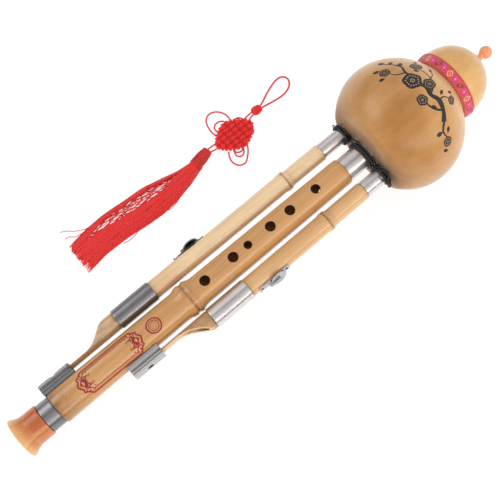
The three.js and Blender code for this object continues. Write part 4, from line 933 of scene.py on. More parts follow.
def paths_object(name, paths, place, tones=None):
    """Object of loose edges along the paths, in metres"""
    matrix = np.array(place)
    points, edges, tone = [], [], []
    for k, path in enumerate(paths):
        path = np.asarray(path, float)
        first = len(points)
        points += list((path @ matrix[:3, :3].T + matrix[:3, 3]) * MM)
        edges += [(i, i + 1) for i in range(first, len(points) - 1)]
        tone += [0.5 if tones is None else tones[k]] * len(path)
    mesh = bpy.data.meshes.new(name)
    mesh.from_pydata([tuple(p) for p in points], edges, [])
    mesh.attributes.new("tone", "FLOAT", "POINT").data.foreach_set("value", np.array(tone, np.float32))
    return linked(name, mesh)


def cords(name, paths, diameter, material, place=TABLE, sides=15, strands=3, hollow=0.2, lay=None, tones=None):
    """Cords along paths, made by the LaidCord tree and settled into plain mesh"""
    tree, sockets = shared("laid", laid_cord_tree)
    piece = paths_object(name, paths, place, tones)
    modifier = piece.modifiers.new("LaidCord", "NODES")
    modifier.node_group = tree
    for label, value in (
        ("Radius", diameter / 2 * MM), ("Sides", sides), ("Strands", strands), ("Hollow", hollow),
        ("Lay Length", (lay or 4 * diameter) * MM), ("Material", material),
    ):
        modifier[sockets[label]] = value
    settle(piece, sharp=0)
    outward(piece)
    smooth(piece, 75)
    return piece


def outward(piece, enough=4000):
    """Turns the faces of a settled mesh outwards if the first of them point in"""
    mesh = piece.data
    points = np.array([v.co for v in mesh.vertices])
    faces = [tuple(p.vertices) for p in mesh.polygons[:enough]]
    if signed_volume(points[: max(max(f) for f in faces) + 1], faces) < 0:
        mesh.flip_normals()


# Surfaces of the flute that other pieces follow
def small_bulb_radius(x, inset=0.0):
    share = 1 - ((x - SMALL_BULB["centre"]) / (SMALL_BULB["reach"] - inset)) ** 2
    return (SMALL_BULB["radius"] - inset) * math.sqrt(max(0.0, share))


def gourd_profile(inset, start):
    """Side of the gourd, or of its cavity, from the base to the tip"""
    big_end, small_start = WAIST[0] - WAIST_BLEND, RIBBON[0]
    first = math.asin(max(-1.0, (start - BULB["centre"]) / (BULB["base_reach"] - inset)))
    last = math.asin((big_end - BULB["centre"]) / (BULB["waist_reach"] - inset))
    points = []
    for angle in np.linspace(first, last, 60):
        reach = (BULB["base_reach"] if angle < 0 else BULB["waist_reach"]) - inset
        points.append((BULB["centre"] + reach * math.sin(angle), (BULB["radius"] - inset) * math.cos(angle)))
    points.append((WAIST[0] - WAIST_BLEND * 0.5, WAIST[1] - inset + WAIST_RISE))
    points.append((WAIST[0], WAIST[1] - inset))
    reach = SMALL_BULB["reach"] - inset
    first = math.asin((small_start - SMALL_BULB["centre"]) / reach)
    for angle in np.linspace(first, math.pi / 2, 44)[:-1]:
        radius = (SMALL_BULB["radius"] - inset) * math.cos(angle)
        points.append((SMALL_BULB["centre"] + reach * math.sin(angle), radius))
    points.append((SMALL_BULB["centre"] + reach, 0))
    return points


OUTLINE = np.array(gourd_profile(0, GOURD_BASE))


def gourd_surface(x):
    return float(np.interp(x, OUTLINE[:, 0], OUTLINE[:, 1]))


def hump(x, start, end):
    """Smooth rise and fall between two places, nothing outside them"""
    share = np.clip((x - start) / (end - start), 0, 1)
    return np.sin(np.pi * share) ** 2


def on_round(radius, u, angle, lift, wobble):
    """Point of a turned surface at an angle from Y towards Z, with the surface's slight unevenness"""
    radius += lift + float(wobble(np.array(u), angle))
    return (u, radius * math.cos(angle), radius * math.sin(angle))


def raised(surface, spread, height, sink=0.06):
    """Section across a raised mark, its underside sunk into the surface"""
    return [surface(*p, -sink) for p in spread] + [surface(*p, height) for p in reversed(spread)]


def stroke(form, surface, path, widths, height, columns=1):
    """Thin raised mark along a path on a surface; widths run evenly along it"""
    path = np.asarray(path, float)
    ahead = np.gradient(path, axis=0)
    ahead /= np.maximum(np.linalg.norm(ahead, axis=1, keepdims=True), 1e-9)
    side = np.stack([-ahead[:, 1], ahead[:, 0]], axis=1)
    widths = np.interp(np.linspace(0, 1, len(path)), np.linspace(0, 1, len(widths)), widths)
    rings = []
    for point, across, width in zip(path, side, widths):
        spread = [point + across * width * (k / columns - 0.5) for k in range(columns + 1)]
        rings.append(raised(surface, spread, height))
    form.loft(rings)


def dot(form, surface, centre, radius, height, finish=0):
    """Small raised dot, made as a short wide stroke with round ends"""
    shares = np.array([-1, -0.86, -0.5, 0, 0.5, 0.86, 1]) * 0.999
    rings = []
    for share, width in zip(shares, 2 * radius * np.sqrt(1 - shares**2)):
        spread = [(centre[0] + radius * share, centre[1] + width * (k / 2 - 0.5)) for k in range(3)]
        rings.append(raised(surface, spread, height))
    form.loft(rings, finish=finish)


def on_circle(centre, radius, angle):
    return (centre[0] + radius * math.cos(angle), centre[1] + radius * math.sin(angle))


# Stage, in metres: the camera's places in millimetres
CAMERA_AT = (-173.37, -189.40, 691.21)
CAMERA_AIM = (-14.9, -0.9, 36.0)
CAMERA_LENS = 69.5
SENSOR_WIDTH = 36
# Lamps: name, place, aim, size, share of full white on a card at the aim, and whether metal and lacquer show it
LAMPS = (
    ("TopLamp", (0.15, 0.1, 1.3), (0, 0, 0), (1.3, 1.3), 0.22, False),
    ("StripLamp", (-0.05, -0.85, 0.42), (0, 0, 0.02), (1.7, 0.12), 0.22, True),
    ("WindowLamp", (-0.44, 0.53, 0.58), (0.08, 0, 0.03), (0.5, 0.36), 0.12, True),
    ("LineLamp", (-0.05, -0.75, 0.62), (0, 0, 0.02), (1.7, 0.06), 0.1, True),
    ("FillLamp", (0.12, -0.8, 0.1), (0.12, 0, 0.03), (0.9, 0.18), 0.2, False),
)
# Cards that only reflections show: name, shade, and Y and Z of two edges
CARDS = (
    ("NearCard", 0.03, (-0.9, 0), (-0.9, 0.26)),
    ("FarCard", 0.1, (0.9, 0.12), (0.9, 0.34)),
    ("HighCard", 0.5, (-0.3, 1.6), (0.35, 1.6)),
)
CARD_REACH = 1.2
FLOOR_REACH = 6.0
FLOOR_SHADE = 0.95
FLOOR_SHADE_SEEN = 0.22
FLOOR_GLOW_SEEN = 0.86
SKY = 0.65
SKY_ADDED_GLOSSY = 0.1


def aim(thing, at, target):
    thing.location = Vector(at)
    thing.rotation_euler = (Vector(target) - Vector(at)).to_track_quat("-Z", "Y").to_euler()


def area_lamp(name, at, target, size, share, shown):
    """Area lamp that gives a white card at the target a share of full white"""
    data = bpy.data.lights.new(name, "AREA")
    data.shape = "RECTANGLE"
    data.size, data.size_y = size
    data.energy = math.pi**2 * (Vector(at) - Vector(target)).length ** 2 * share
    lamp = linked(name, data)
    lamp.visible_glossy = shown
    aim(lamp, at, target)
    return lamp


def flat(name, reach, low, high, material):
    """Rectangle over the reach both ways in X, from one pair of Y and Z to the other"""
    mesh = bpy.data.meshes.new(name)
    mesh.from_pydata([(-reach, *low), (reach, *low), (reach, *high), (-reach, *high)], [], [(0, 1, 2, 3)])
    mesh.materials.append(material)
    return linked(name, mesh)


class HULUSI_OT_stage(bpy.types.Operator):
    """Camera, lamps, floor and surroundings"""
    bl_idname = "hulusi.stage"
    bl_label = "Stage"

    def execute(self, context):
        scene = context.scene
        scene.view_settings.view_transform = "Standard"
        data = bpy.data.cameras.new("Camera")
        data.lens = CAMERA_LENS
        data.sensor_width = SENSOR_WIDTH
        scene.camera = linked("Camera", data)
        aim(scene.camera, [c * MM for c in CAMERA_AT], [c * MM for c in CAMERA_AIM])
        self.surroundings(scene)
        staged = [area_lamp(*lamp) for lamp in LAMPS]
        staged += [self.floor(), *(self.card(*card) for card in CARDS)]
        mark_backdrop(*staged)
        return {"FINISHED"}

    def surroundings(self, scene):
        """White where the camera looks, softer where it only lights"""
        world = bpy.data.worlds.new("Studio")
        world.use_nodes = True
        world.node_tree.nodes.clear()
        nodes = Nodes(world.node_tree)
        path = nodes.add("ShaderNodeLightPath").outputs
        seen = nodes.math("MAXIMUM", path["Is Camera Ray"], path["Is Transmission Ray"])
        strength = nodes.math("MAXIMUM", nodes.times_plus(path["Is Glossy Ray"], SKY_ADDED_GLOSSY, SKY), seen)
        back = nodes.add("ShaderNodeBackground", {"Color": (1, 1, 1), "Strength": strength})
        nodes.add("ShaderNodeOutputWorld", {0: back.outputs[0]})
        scene.world = world

    def floor(self):
        """White table: it glows for the camera and in reflections, and is plain white to the light"""
        material = bpy.data.materials.new("WhiteTable")
        material.use_nodes = True
        material.node_tree.nodes.clear()
        nodes = Nodes(material.node_tree)
        path = nodes.add("ShaderNodeLightPath").outputs
        seen = nodes.math("MAXIMUM", path["Is Camera Ray"], path["Is Glossy Ray"])
        seen = nodes.math("MAXIMUM", seen, path["Is Transmission Ray"])
        lit = nodes.add("ShaderNodeBsdfDiffuse", {"Color": (FLOOR_SHADE_SEEN,) * 3}).outputs[0]
        glow = nodes.add("ShaderNodeEmission", {"Color": (1, 1, 1), "Strength": FLOOR_GLOW_SEEN}).outputs[0]
        shown = nodes.add("ShaderNodeAddShader", {0: lit, 1: glow}).outputs[0]
        plain = nodes.add("ShaderNodeBsdfDiffuse", {"Color": (FLOOR_SHADE,) * 3}).outputs[0]
        mixed = nodes.add("ShaderNodeMixShader", {0: seen, 1: plain, 2: shown}).outputs[0]
        nodes.add("ShaderNodeOutputMaterial", {0: mixed})
        return flat("Floor", FLOOR_REACH, (-FLOOR_REACH, 0), (FLOOR_REACH, 0), material)

    def card(self, name, shade, low, high):
        material = bpy.data.materials.new(name)
        material.use_nodes = True
        shader = material.node_tree.nodes["Principled BSDF"]
        shader.inputs["Base Color"].default_value = (shade, shade, shade, 1)
        card = flat(name, CARD_REACH, low, high, material)
        card.visible_camera = False
        card.visible_diffuse = False
        card.visible_shadow = False
        return card


# Tassel
def cord_path(points, diameter, step):
    """Route with the cord's own height added"""
    lifted = [(x, y, diameter / 2 + CORD_LIFT + z) for x, y, z in points]
    return spline(lifted, step)


class HULUSI_OT_tassel_cords(bpy.types.Operator):
    """Hanging loop and the two large ears, each a cord of its own"""
    bl_idname = "hulusi.tassel_cords"
    bl_label = "Tassel cords"

    def execute(self, context):
        thin = sizes().ear_cord / MM
        routes = (
            ("HangingLoop", HANGING_LOOP, sizes().loop_cord / MM, "tassel_hanging_loop"),
            ("EarBig", EAR_BIG, thin, "tassel_ear_big"),
            ("EarRight", EAR_RIGHT, thin, "tassel_ear_right"),
        )
        for name, route, diameter, node in routes:
            fine = cord_path(route, diameter, 0.45)
            piece = cords(name, [fine], diameter, red_cord(), lay=5.5, hollow=0.24, tones=[0.75])
            mount(piece, "gourd", "red_cord", node)
        return {"FINISHED"}


LATTICE_LINES = 7
LATTICE_PAIR = 0.22
LATTICE_ROUNDING = 0.32
LATTICE_GAP = 2 / LATTICE_LINES
LATTICE_SPREAD = 0.95
LATTICE_REACH = 0.985
STRAND_MIDDLE = 2.7
STRAND_RISE = 1.35
STRAND_SQUARENESS = 0.9
TURN_HEIGHT = 2.75
TURN_AT = 0.97
TURN_REACH = 0.09
# The knot's core is painted shade: a dark red solid seen through the gaps between strands
KNOT_CORE = (2.0, 0.6)
CORE_SHARE = 0.8


def on_knot(u, v, z, crossing):
    """Place in the knot's oval of a point of its square lattice"""
    if crossing:
        u, v = v, u
    x, y = u * math.sqrt(1 - v * v * LATTICE_ROUNDING), v * math.sqrt(1 - u * u * LATTICE_ROUNDING)
    c = math.sqrt(0.5)
    return (KNOT_CENTRE[0] + KNOT_HALF[0] * c * (x - y), KNOT_CENTRE[1] + KNOT_HALF[1] * c * (x + y), z)


def knot_strands():
    """Double strands that weave over and under each other, and the small loops that join them at the edge"""
    lines = [(2 * k + 1) / LATTICE_LINES - 1 for k in range(LATTICE_LINES)]
    strands = []
    for crossing in (False, True):
        for i, line in enumerate(lines):
            for side in (-1, 1):
                v = (line + side * LATTICE_PAIR * LATTICE_GAP * LATTICE_SPREAD) * LATTICE_REACH
                points = []
                for u in np.linspace(-1.0, 1.0, 49):
                    wave = math.sin((u + 1) / LATTICE_GAP * math.pi) * (1 if (i + crossing) % 2 else -1)
                    wave = math.copysign(abs(wave) ** STRAND_SQUARENESS, wave)
                    fade = min(1.0, (1 - abs(u)) * 6 + 0.15)
                    height = STRAND_MIDDLE + STRAND_RISE * wave * fade * (-1 if crossing else 1)
                    points.append(on_knot(u, v, height, crossing))
                strands.append(points)
    for line in lines:
        for end in (-1, 1):
            for crossing in (False, True):
                low, high = line - LATTICE_PAIR * LATTICE_GAP, line + LATTICE_PAIR * LATTICE_GAP
                points = []
                for t in np.linspace(0, math.pi, 9):
                    v = (low + high) / 2 - (high - low) / 2 * math.cos(t)
                    u = end * (TURN_AT + TURN_REACH * math.sin(t))
                    points.append(on_knot(u, v, TURN_HEIGHT, crossing))
                strands.append(points)
    return strands


def swelling(name, centre, half, material, rows=18, sides=36):
    """Closed rounded core inside a knot"""
    x, y, z = centre
    rings = [
        [
            (
                x + half[0] * math.cos(angle) * math.cos(turn), y + half[1] * math.cos(angle) * math.sin(turn),
                z + half[2] * math.sin(angle),
            ) for turn in turn_steps(sides)
        ] for angle in np.linspace(-math.pi / 2, math.pi / 2, rows + 2)[1:-1]
    ]
    return lofted(name, rings, material, TABLE, poles=((x, y, z - half[2]), (x, y, z + half[2])))


def joined(name, pieces):
    """One object from several meshes with the same materials"""
    with bpy.context.temp_override(active_object=pieces[0], selected_editable_objects=pieces):
        bpy.ops.object.join()
    pieces[0].name = name
    pieces[0].data.name = name
    return pieces[0]


BUTTON_TILT = math.radians(58)
BUTTON_UNEVENNESS = 0.07
BUTTON_CORE_SHARE = 0.82
WRAP_THREAD = 1.0
WRAP_PITCH = 0.8


class HULUSI_OT_tassel_knots(bpy.types.Operator):
    """Square knot with its small ears, button knot and wrapped head"""
    bl_idname = "hulusi.tassel_knots"
    bl_label = "Tassel knots"

    def execute(self, context):
        thin = sizes().ear_cord / MM
        woven = knot_strands()
        lattice = cords(
            "KnotLattice", woven, thin * 1.28, red_cord(), lay=6, hollow=0.12, tones=[0.9] * len(woven),
        )
        routes = (EAR_LEFT, EAR_FRONT, *EARS_SMALL, *UPPER_CORDS, *LOWER_CORDS)
        small = [cord_path(route, thin, 0.5) for route in routes]
        ears = cords("KnotEars", small, thin, red_cord(), lay=5, hollow=0.22)
        centre, half = (*KNOT_CENTRE, KNOT_CORE[0]), (*(h * CORE_SHARE for h in KNOT_HALF), KNOT_CORE[1])
        # Dark red core under the strands: painted shade in the gaps of the knot
        core = swelling("KnotCore", centre, half, knot_gap_shade(), 10, 48)
        knot = joined("SquareKnot", [lattice, ears, core])
        mount(
            knot, "gourd", "red_cord", "tassel_knot", "tassel_ear_left", "tassel_ear_front",
            "tassel_upper_cord_left", "tassel_upper_cord_right", "tassel_lower_cord_left", "tassel_lower_cord_right",
        )
        self.button(thin)
        self.head()
        return {"FINISHED"}

    def button(self, thin):
        """Round knot: one cord wound over and under itself round a core"""
        path = []
        half = [h - thin / 2 for h in BUTTON_HALF]
        for t in np.linspace(0, TURN, 361):
            turn, tilt = 3 * t, BUTTON_TILT * math.cos(4 * t)
            out = 1 + BUTTON_UNEVENNESS * math.sin(8 * t + 0.4)
            spot = (math.sin(tilt), math.cos(tilt) * math.cos(turn), math.cos(tilt) * math.sin(turn))
            path.append([c + h * out * s for c, h, s in zip(BUTTON_CENTRE, half, spot)])
        wound = cords("ButtonCord", [path], thin * 1.35, red_cord(), lay=5, hollow=0.18, tones=[0.8])
        core = swelling("ButtonCore", BUTTON_CENTRE, [h * BUTTON_CORE_SHARE for h in BUTTON_HALF], red_cord())
        mount(joined("ButtonKnot", [wound, core]), "gourd", "red_cord", "tassel_button_knot")

    def head(self):
        """Head of the tassel: thread wrapped over the folded threads"""
        start, end = (np.array((*p, HEAD_RADIUS + CORD_LIFT)) for p in HEAD)
        axis = end - start
        reach = np.linalg.norm(axis)
        axis /= reach
        side = np.cross((0, 0, 1), axis)
        up = np.cross(axis, side)

        def spot(t, angle, share=1):
            """Point on the head's core: it swells from the knot down"""
            swell = HEAD_RADIUS * (0.78 + 0.22 * math.sin(math.pi / 2 * min(1, max(0, t * 1.6))))
            radius = (swell - WRAP_THREAD / 2) * share
            return start + axis * reach * t + radius * (side * math.cos(angle) + up * math.sin(angle))

        turns = reach / WRAP_PITCH
        wrap = [spot(t, TURN * turns * t) for t in np.linspace(0, 1, int(turns * 22))]
        rings = []
        for t in np.linspace(-0.02, 1.02, 26):
            rings.append([spot(t, angle, 1 if 0.02 < t < 0.98 else 0.8) for angle in turn_steps(40)])
        core = lofted("HeadCore", rings, red_cord(), TABLE)
        wound = cords(
            "HeadWrap", [wrap], WRAP_THREAD, red_thread(), sides=8, strands=2, hollow=0.0, lay=3, tones=[1.0],
        )
        mount(joined("TasselHead", [wound, core]), "gourd", "red_cord", "tassel_head")


# Skirt: the opening in its threads, the share of them that lies on top, and where they start and end
GAP_AT = 0.42
GAP_HALF = 0.42
GAP_RUN = (-106, 2)
PARTED_SHARE = 0.82
TOP_SHARE = 0.6
THREAD_START = 9.5
THREAD_FREE_FROM = 7.5
THREAD_REACH = 120
LONG_ENDS = (-112, -104)
SHORT_ENDS = (-106, -94)
LONG_SHARE = 0.8
TABLE_GAP = 0.05
# A lay far longer than a thread keeps it from twisting
UNTWISTED = 4000
STRAYS = (
    ((-84, 100.5, 3), (-94, 102, 2.4), (-102, 103.5, 1.4), (-106, 107, 0.8), (-109.3, 107.2, 0.5)),
    ((-80, 101.5, 2.5), (-92, 103.6, 1.6), (-100, 108, 0.9), (-105, 112.5, 0.6), (-108.8, 114.3, 0.5)),
    ((-58, 77.5, 1.8), (-66, 75.4, 0.8), (-72, 74.9, 0.6), (-77, 75.8, 0.6)),
    ((-20, 77.4, 2.2), (-26, 75.8, 1.2), (-31, 74.9, 0.7), (-34, 75.6, 0.6)),
)


def skirt_threads(count, thickness, seed=11):
    """Threads of the skirt: an even top layer over a filling, parted over the open part, ragged at their ends"""
    dice = random.Random(seed)
    stations = np.array(SKIRT)[::-1]
    paths, tones = [], []
    top = round(TOP_SHARE * count)
    for k in range(count):
        # u and v say where the thread lies across the skirt and how high
        u = -1 + 2 * (k + 0.5) / top if k < top else dice.uniform(-1, 1)
        u = max(-1, min(1, u + dice.gauss(0, 0.025)))
        v = 1 - abs(dice.gauss(0, 0.07)) if k < top else dice.uniform(0.02, 0.88)
        parted, loose = 0.0, False
        if abs(u - GAP_AT) < GAP_HALF:
            loose = dice.random() > PARTED_SHARE
            if not loose:
                side = GAP_HALF if u > GAP_AT else -GAP_HALF
                parted = GAP_AT + side * (1.1 + abs(dice.gauss(0, 0.22))) - u
        end = dice.uniform(*LONG_ENDS) if dice.random() < LONG_SHARE else dice.uniform(*SHORT_ENDS)
        wave, phase = (dice.uniform(14, 30) if loose else dice.uniform(30, 80)), dice.uniform(0, TURN)
        amount = dice.uniform(0.05, 0.12) if loose else dice.uniform(0.006, 0.022)
        splay = dice.gauss(0, 0.04)
        points = []
        for x in np.linspace(THREAD_START, end, 22):
            y, half, thick = (np.interp(x, stations[:, 0], stations[:, c]) for c in (1, 2, 3))
            share = max(0, (THREAD_FREE_FROM - x) / THREAD_REACH)
            across = u + parted * hump(x, *GAP_RUN) ** 0.7 + 0.03 * math.sin(TURN * x / 75 + 4 * u)
            across += amount * math.sin(TURN * x / wave + phase) * min(1, share * 4) + splay * share**2 * 2
            across = max(-1.04, min(1.04, across))
            crown = math.sqrt(max(0.05, 1 - min(1, abs(across)) ** 2.2))
            lowest = thickness / 2 + TABLE_GAP
            points.append((x, y + half * across, max(lowest, lowest + (thick * crown - thickness) * v)))
        paths.append(spline(points, count=28))
        tones.append(max(0, min(1, 0.62 + 0.38 * math.sin(17 * u + 2 * math.sin(41 * u)) + dice.gauss(0, 0.16))))
    paths += [spline(stray, count=26) for stray in STRAYS]
    return paths, tones + [0.3] * len(STRAYS)


class HULUSI_OT_tassel_skirt(bpy.types.Operator):
    """Skirt of loose threads"""
    bl_idname = "hulusi.tassel_skirt"
    bl_label = "Tassel skirt"

    def execute(self, context):
        thickness = sizes().thread / MM
        paths, tones = skirt_threads(sizes().thread_count, thickness)
        skirt = cords(
            "TasselSkirt", paths, thickness, red_thread(), sides=6, strands=1, hollow=0.0, lay=UNTWISTED, tones=tones,
        )
        mount(skirt, "gourd", "red_cord", "tassel_skirt")
        return {"FINISHED"}


# Gourd: the recess in its base, with the terms of its radius, the hole at its tip, the reach of the darker skin round
# the collars, partly stained and partly painted shade, and the lacquer's coat
RECESS_DEPTH = 3.1
RECESS_TERMS = (24, 18.6, -5.53)
TIP_HOLE = (426, 436, 3.2)
COLLAR_STAIN_AND_SHADE_REACH = 14.5
COAT = 0.35


def gourd_wobble(x, angle):
    amount = 0.32 * hump(x, 326, 390) + 0.22 * hump(x, 406, 432)
    return amount * (0.6 * np.sin(2 * angle + 0.7) + 0.4 * np.sin(3 * angle - x / 19.0))


def on_gourd(u, v, lift):
    """Point of the gourd's skin: u along it, v round it from the top towards +Y"""
    return on_round(gourd_surface(u), u, math.pi / 2 - v / BULB["radius"], lift, gourd_wobble)


def collar_stain_and_shade(points):
    """Darker skin round the three cord collars and on the base between them: partly stained skin, partly painted
    shade beside and between the collars
    """
    x, y, z = points.T
    left, right = DRONES["left"], DRONES["right"]
    near = np.full(len(x), 1e3)
    for lateral, radius in (
        (0.0, MAIN_FERRULE_RADIUS), (left["gourd_lateral"], left["ferrule_radius"]),
        (-right["gourd_lateral"], right["ferrule_radius"]),
    ):
        away = np.maximum(0, np.hypot(y - lateral, z) - radius - 2)
        near = np.minimum(near, np.hypot(np.maximum(0, x - GOURD_BASE), away))
    shade = 0.92 * np.exp(-((near / COLLAR_STAIN_AND_SHADE_REACH) ** 2))
    # Painted shade on the base's recess between the ferrules
    inward = (x < GOURD_BASE + 0.5) * np.clip((30 - np.hypot(y, z)) / 8, 0, 0.7)
    return np.maximum(shade, inward)


class HULUSI_OT_gourd(bpy.types.Operator):
    """Gourd shell, mouthpiece and waist ribbon"""
    bl_idname = "hulusi.gourd"
    bl_label = "Gourd"

    def execute(self, context):
        self.shell()
        self.mouthpiece()
        self.ribbon()
        return {"FINISHED"}

    def shell(self):
        skin = finish(
            "LacqueredGourd", "gourd", bump=0.25, depth=0.15,
            values={"Pale": colours().gourd_pale, "Deep": colours().gourd_deep, "Stain Color": colours().gourd_stain_and_shade},
            sockets={"Stain": "stain"}, Coat_Roughness=0.3,
            Sheen_Weight=0.5, Sheen_Roughness=0.45, Sheen_Tint=(1, 0.8, 0.62, 1),
        )
        nodes = Nodes(skin.node_tree)
        coat = nodes.remap(nodes.attribute("stain").outputs["Fac"], 0, 0.6, COAT, 0)
        nodes.feed(skin.node_tree.nodes["Principled BSDF"].inputs["Coat Weight"], coat)
        inside = matt_finish("GourdInside", (0.5, 0.34, 0.18), (0.25, 0.14, 0.06), 300, bump=0.6, depth=0.3)
        profile = [(GOURD_BASE, radius) for radius in (0, 8, 16, 22)]
        a, b, c = RECESS_TERMS
        for t in np.linspace(0, 1, 14)[:-1]:
            profile.append((GOURD_BASE + RECESS_DEPTH * t * t, a + b * t + c * t * t))
        profile += gourd_profile(0, GOURD_BASE + RECESS_DEPTH)
        shell = turned("GourdShell", profile, 168, [skin], FLUTE, gourd_wobble, collar_stain_and_shade, 50)
        wall = sizes().gourd_wall / MM
        start = GOURD_BASE + wall
        cutters = [turned("cutter", [(start, 0), *gourd_profile(wall, start + 0.01)], 96, [inside])]
        holes = [(MAIN_FERRULE_RADIUS, FLUTE)]
        holes += [(drone["ferrule_radius"], PLACES[name + "_drone"]) for name, drone in DRONES.items()]
        for radius, place in holes:
            cutters.append(self.rod(GOURD_BASE - 1, start + 1, radius + FIT, place, inside))
        cutters.append(self.rod(*TIP_HOLE, FLUTE, inside))
        carve(shell, cutters, sharp=50)
        mount(shell, "gourd", "gourd", "gourd_shell")

    def rod(self, low, high, radius, place, material):
        return turned("cutter", [(low, 0), (low, radius), (high, radius), (high, 0)], 56, [material], place)

    def mouthpiece(self):
        """Bored tube with a neck, a ring and a ball at its end"""
        body = finish(
            "OrangePlastic", "plastic", bump=0.2, depth=0.2,
            values={
                "Body": colours().orange, "Pale": (0.9, 0.5, 0.28), "Deep": (0.75, 0.22, 0.07), "Pale Share": 0.1,
            },
            Subsurface_Weight=0.15, Subsurface_Radius=(0.004, 0.0015, 0.0008), Coat_Weight=0.4, Coat_Roughness=0.1,
        )
        centre, radius, neck, bore = 443.55, 4.95, 2.9, 1.5
        profile = [(424, bore), (424, neck), (434.0, neck), (434.6, neck), (434.9, 3.2), (435.5, 3.2)]
        profile += [(435.8, 2.6), (437.2, 2.35), (438.6, 2.5)]
        first, last = math.asin(2.7 / radius), math.pi - math.asin((bore + 0.5) / radius)
        for angle in np.linspace(first, last, 26):
            profile.append((centre - radius * math.cos(angle), radius * math.sin(angle)))
        profile.append((centre + radius * 0.935, bore))

        def flats(x, angle):
            return 0.1 * np.cos(9 * angle) * np.cos((x - centre) * 1.5) * hump(x, 439, 448.3)

        piece = turned("Mouthpiece", profile, 72, [body], FLUTE, flats, sharp=45)
        mount(piece, "gourd", "orange_plastic", "mouthpiece")

    def ribbon(self):
        sides, columns = 600, 36
        raise_by = sizes().ribbon_height / MM
        xs = np.linspace(WAIST[0] + 0.3, RIBBON[1], columns)
        base = np.array([max(small_bulb_radius(x), gourd_surface(x)) + FIT for x in xs])
        t = np.repeat(np.linspace(-1, 1, columns)[:, None], sides, axis=1)
        around = np.repeat(turn_steps(sides)[None, :], columns, axis=0)
        colour, relief = ribbon_motif(around, t, sizes().ribbon_flowers)
        edge = np.clip((1 - np.abs(t)) / 0.08, 0, 1) ** 0.5
        top = base[:, None] + 0.25 + (raise_by - 0.45) * edge * 0.6 + relief * 0.22
        along = np.repeat(xs[:, None], sides, axis=1)
        sheets = [
            np.stack([along, radius * np.cos(around), radius * np.sin(around)], axis=2)
            for radius in (top, np.repeat(base[:, None], sides, axis=1))
        ]
        rings = np.concatenate([sheets[0], sheets[1][::-1]])
        lengths = np.linspace(0, 2 * columns, 2 * columns)
        piece = lofted("WaistRibbon", rings, ribbon_material(), FLUTE, 60, loop=True, lengths=lengths)
        tint = np.concatenate([colour, colour[::-1]]).reshape(-1, 3)
        tint = np.concatenate([tint, np.ones((len(tint), 1))], axis=1).astype(np.float32)
        piece.data.attributes.new("weave", "FLOAT_COLOR", "POINT").data.foreach_set("color", tint.ravel())
        mount(piece, "gourd", "ribbon", "waist_ribbon")


# Ribbon's pattern: shares of its half width for its lines, and sizes in mm
FIELD = 0.68
BORDER = 0.72
EDGE_LINE = (0.68, 0.79)
OUTER_LINE = 0.92
PETAL = 2.45


def ribbon_motif(around, t, flowers):
    """Colours and relief of the woven ribbon: edge lines, flowers, chevrons and leaves"""
    c = colours()
    pitch = TURN / flowers
    turns = around / pitch
    index = np.floor(turns)
    girth = small_bulb_radius(sum(RIBBON) / 2)
    s = (turns - index - 0.5) * pitch * girth
    beyond = pitch / 2 * girth - np.abs(s)
    w = t * (RIBBON[1] - RIBBON[0]) / 2
    colour = np.empty((*t.shape, 3))
    colour[:] = c.ribbon_ground
    relief = np.zeros(t.shape)
    angle = np.arctan2(w, s + 0.35 * w)
    reach = np.hypot(w, s + 0.35 * w)
    petal = PETAL * (1 + 0.16 * np.cos(5 * angle + index * 1.3))
    sign = np.where(s > 0, 1, -1)
    odd = (index + (s > 0)) % 2 == 0
    chevron = np.abs(np.abs(w) - (2.1 - beyond * 0.9)) < 0.34
    leaf = (np.abs(w - 0.9 * sign * (1.6 - beyond)) < 0.42) & (beyond < 2.6)
    spray = np.hypot(beyond - 1.1, w + 1.2 * sign) < 0.75
    far, inner = np.abs(t), np.abs(t) < FIELD
    for mask, tint, height in (
        (far > BORDER, shade_of("F4643A"), 0.1), ((far > EDGE_LINE[0]) & (far < EDGE_LINE[1]), c.ribbon_edge, 0.5),
        (far > OUTER_LINE, c.ribbon_edge, 0.4), ((reach < petal + 0.35) & inner, shade_of("B01C4E"), 0.6),
        ((reach < petal) & inner, c.ribbon_flower, 1.0),
        ((reach < petal * 0.62) & (s > 0.1) & inner, shade_of("D01848"), 0.85),
        ((reach < 0.65) & inner, shade_of("F7B2D2"), 1.1),
        (chevron & (beyond < 2.2) & odd & inner, c.ribbon_cream, 0.8),
        ((np.hypot(beyond, w) < 0.6) & odd & inner, shade_of("D9B46A"), 0.8),
        (leaf & ~odd & inner, c.ribbon_leaf, 0.7), (spray & ~odd & inner, shade_of("3F2A6C"), 0.7),
    ):
        colour[mask] = tint
        relief[mask] = height
    return colour, relief


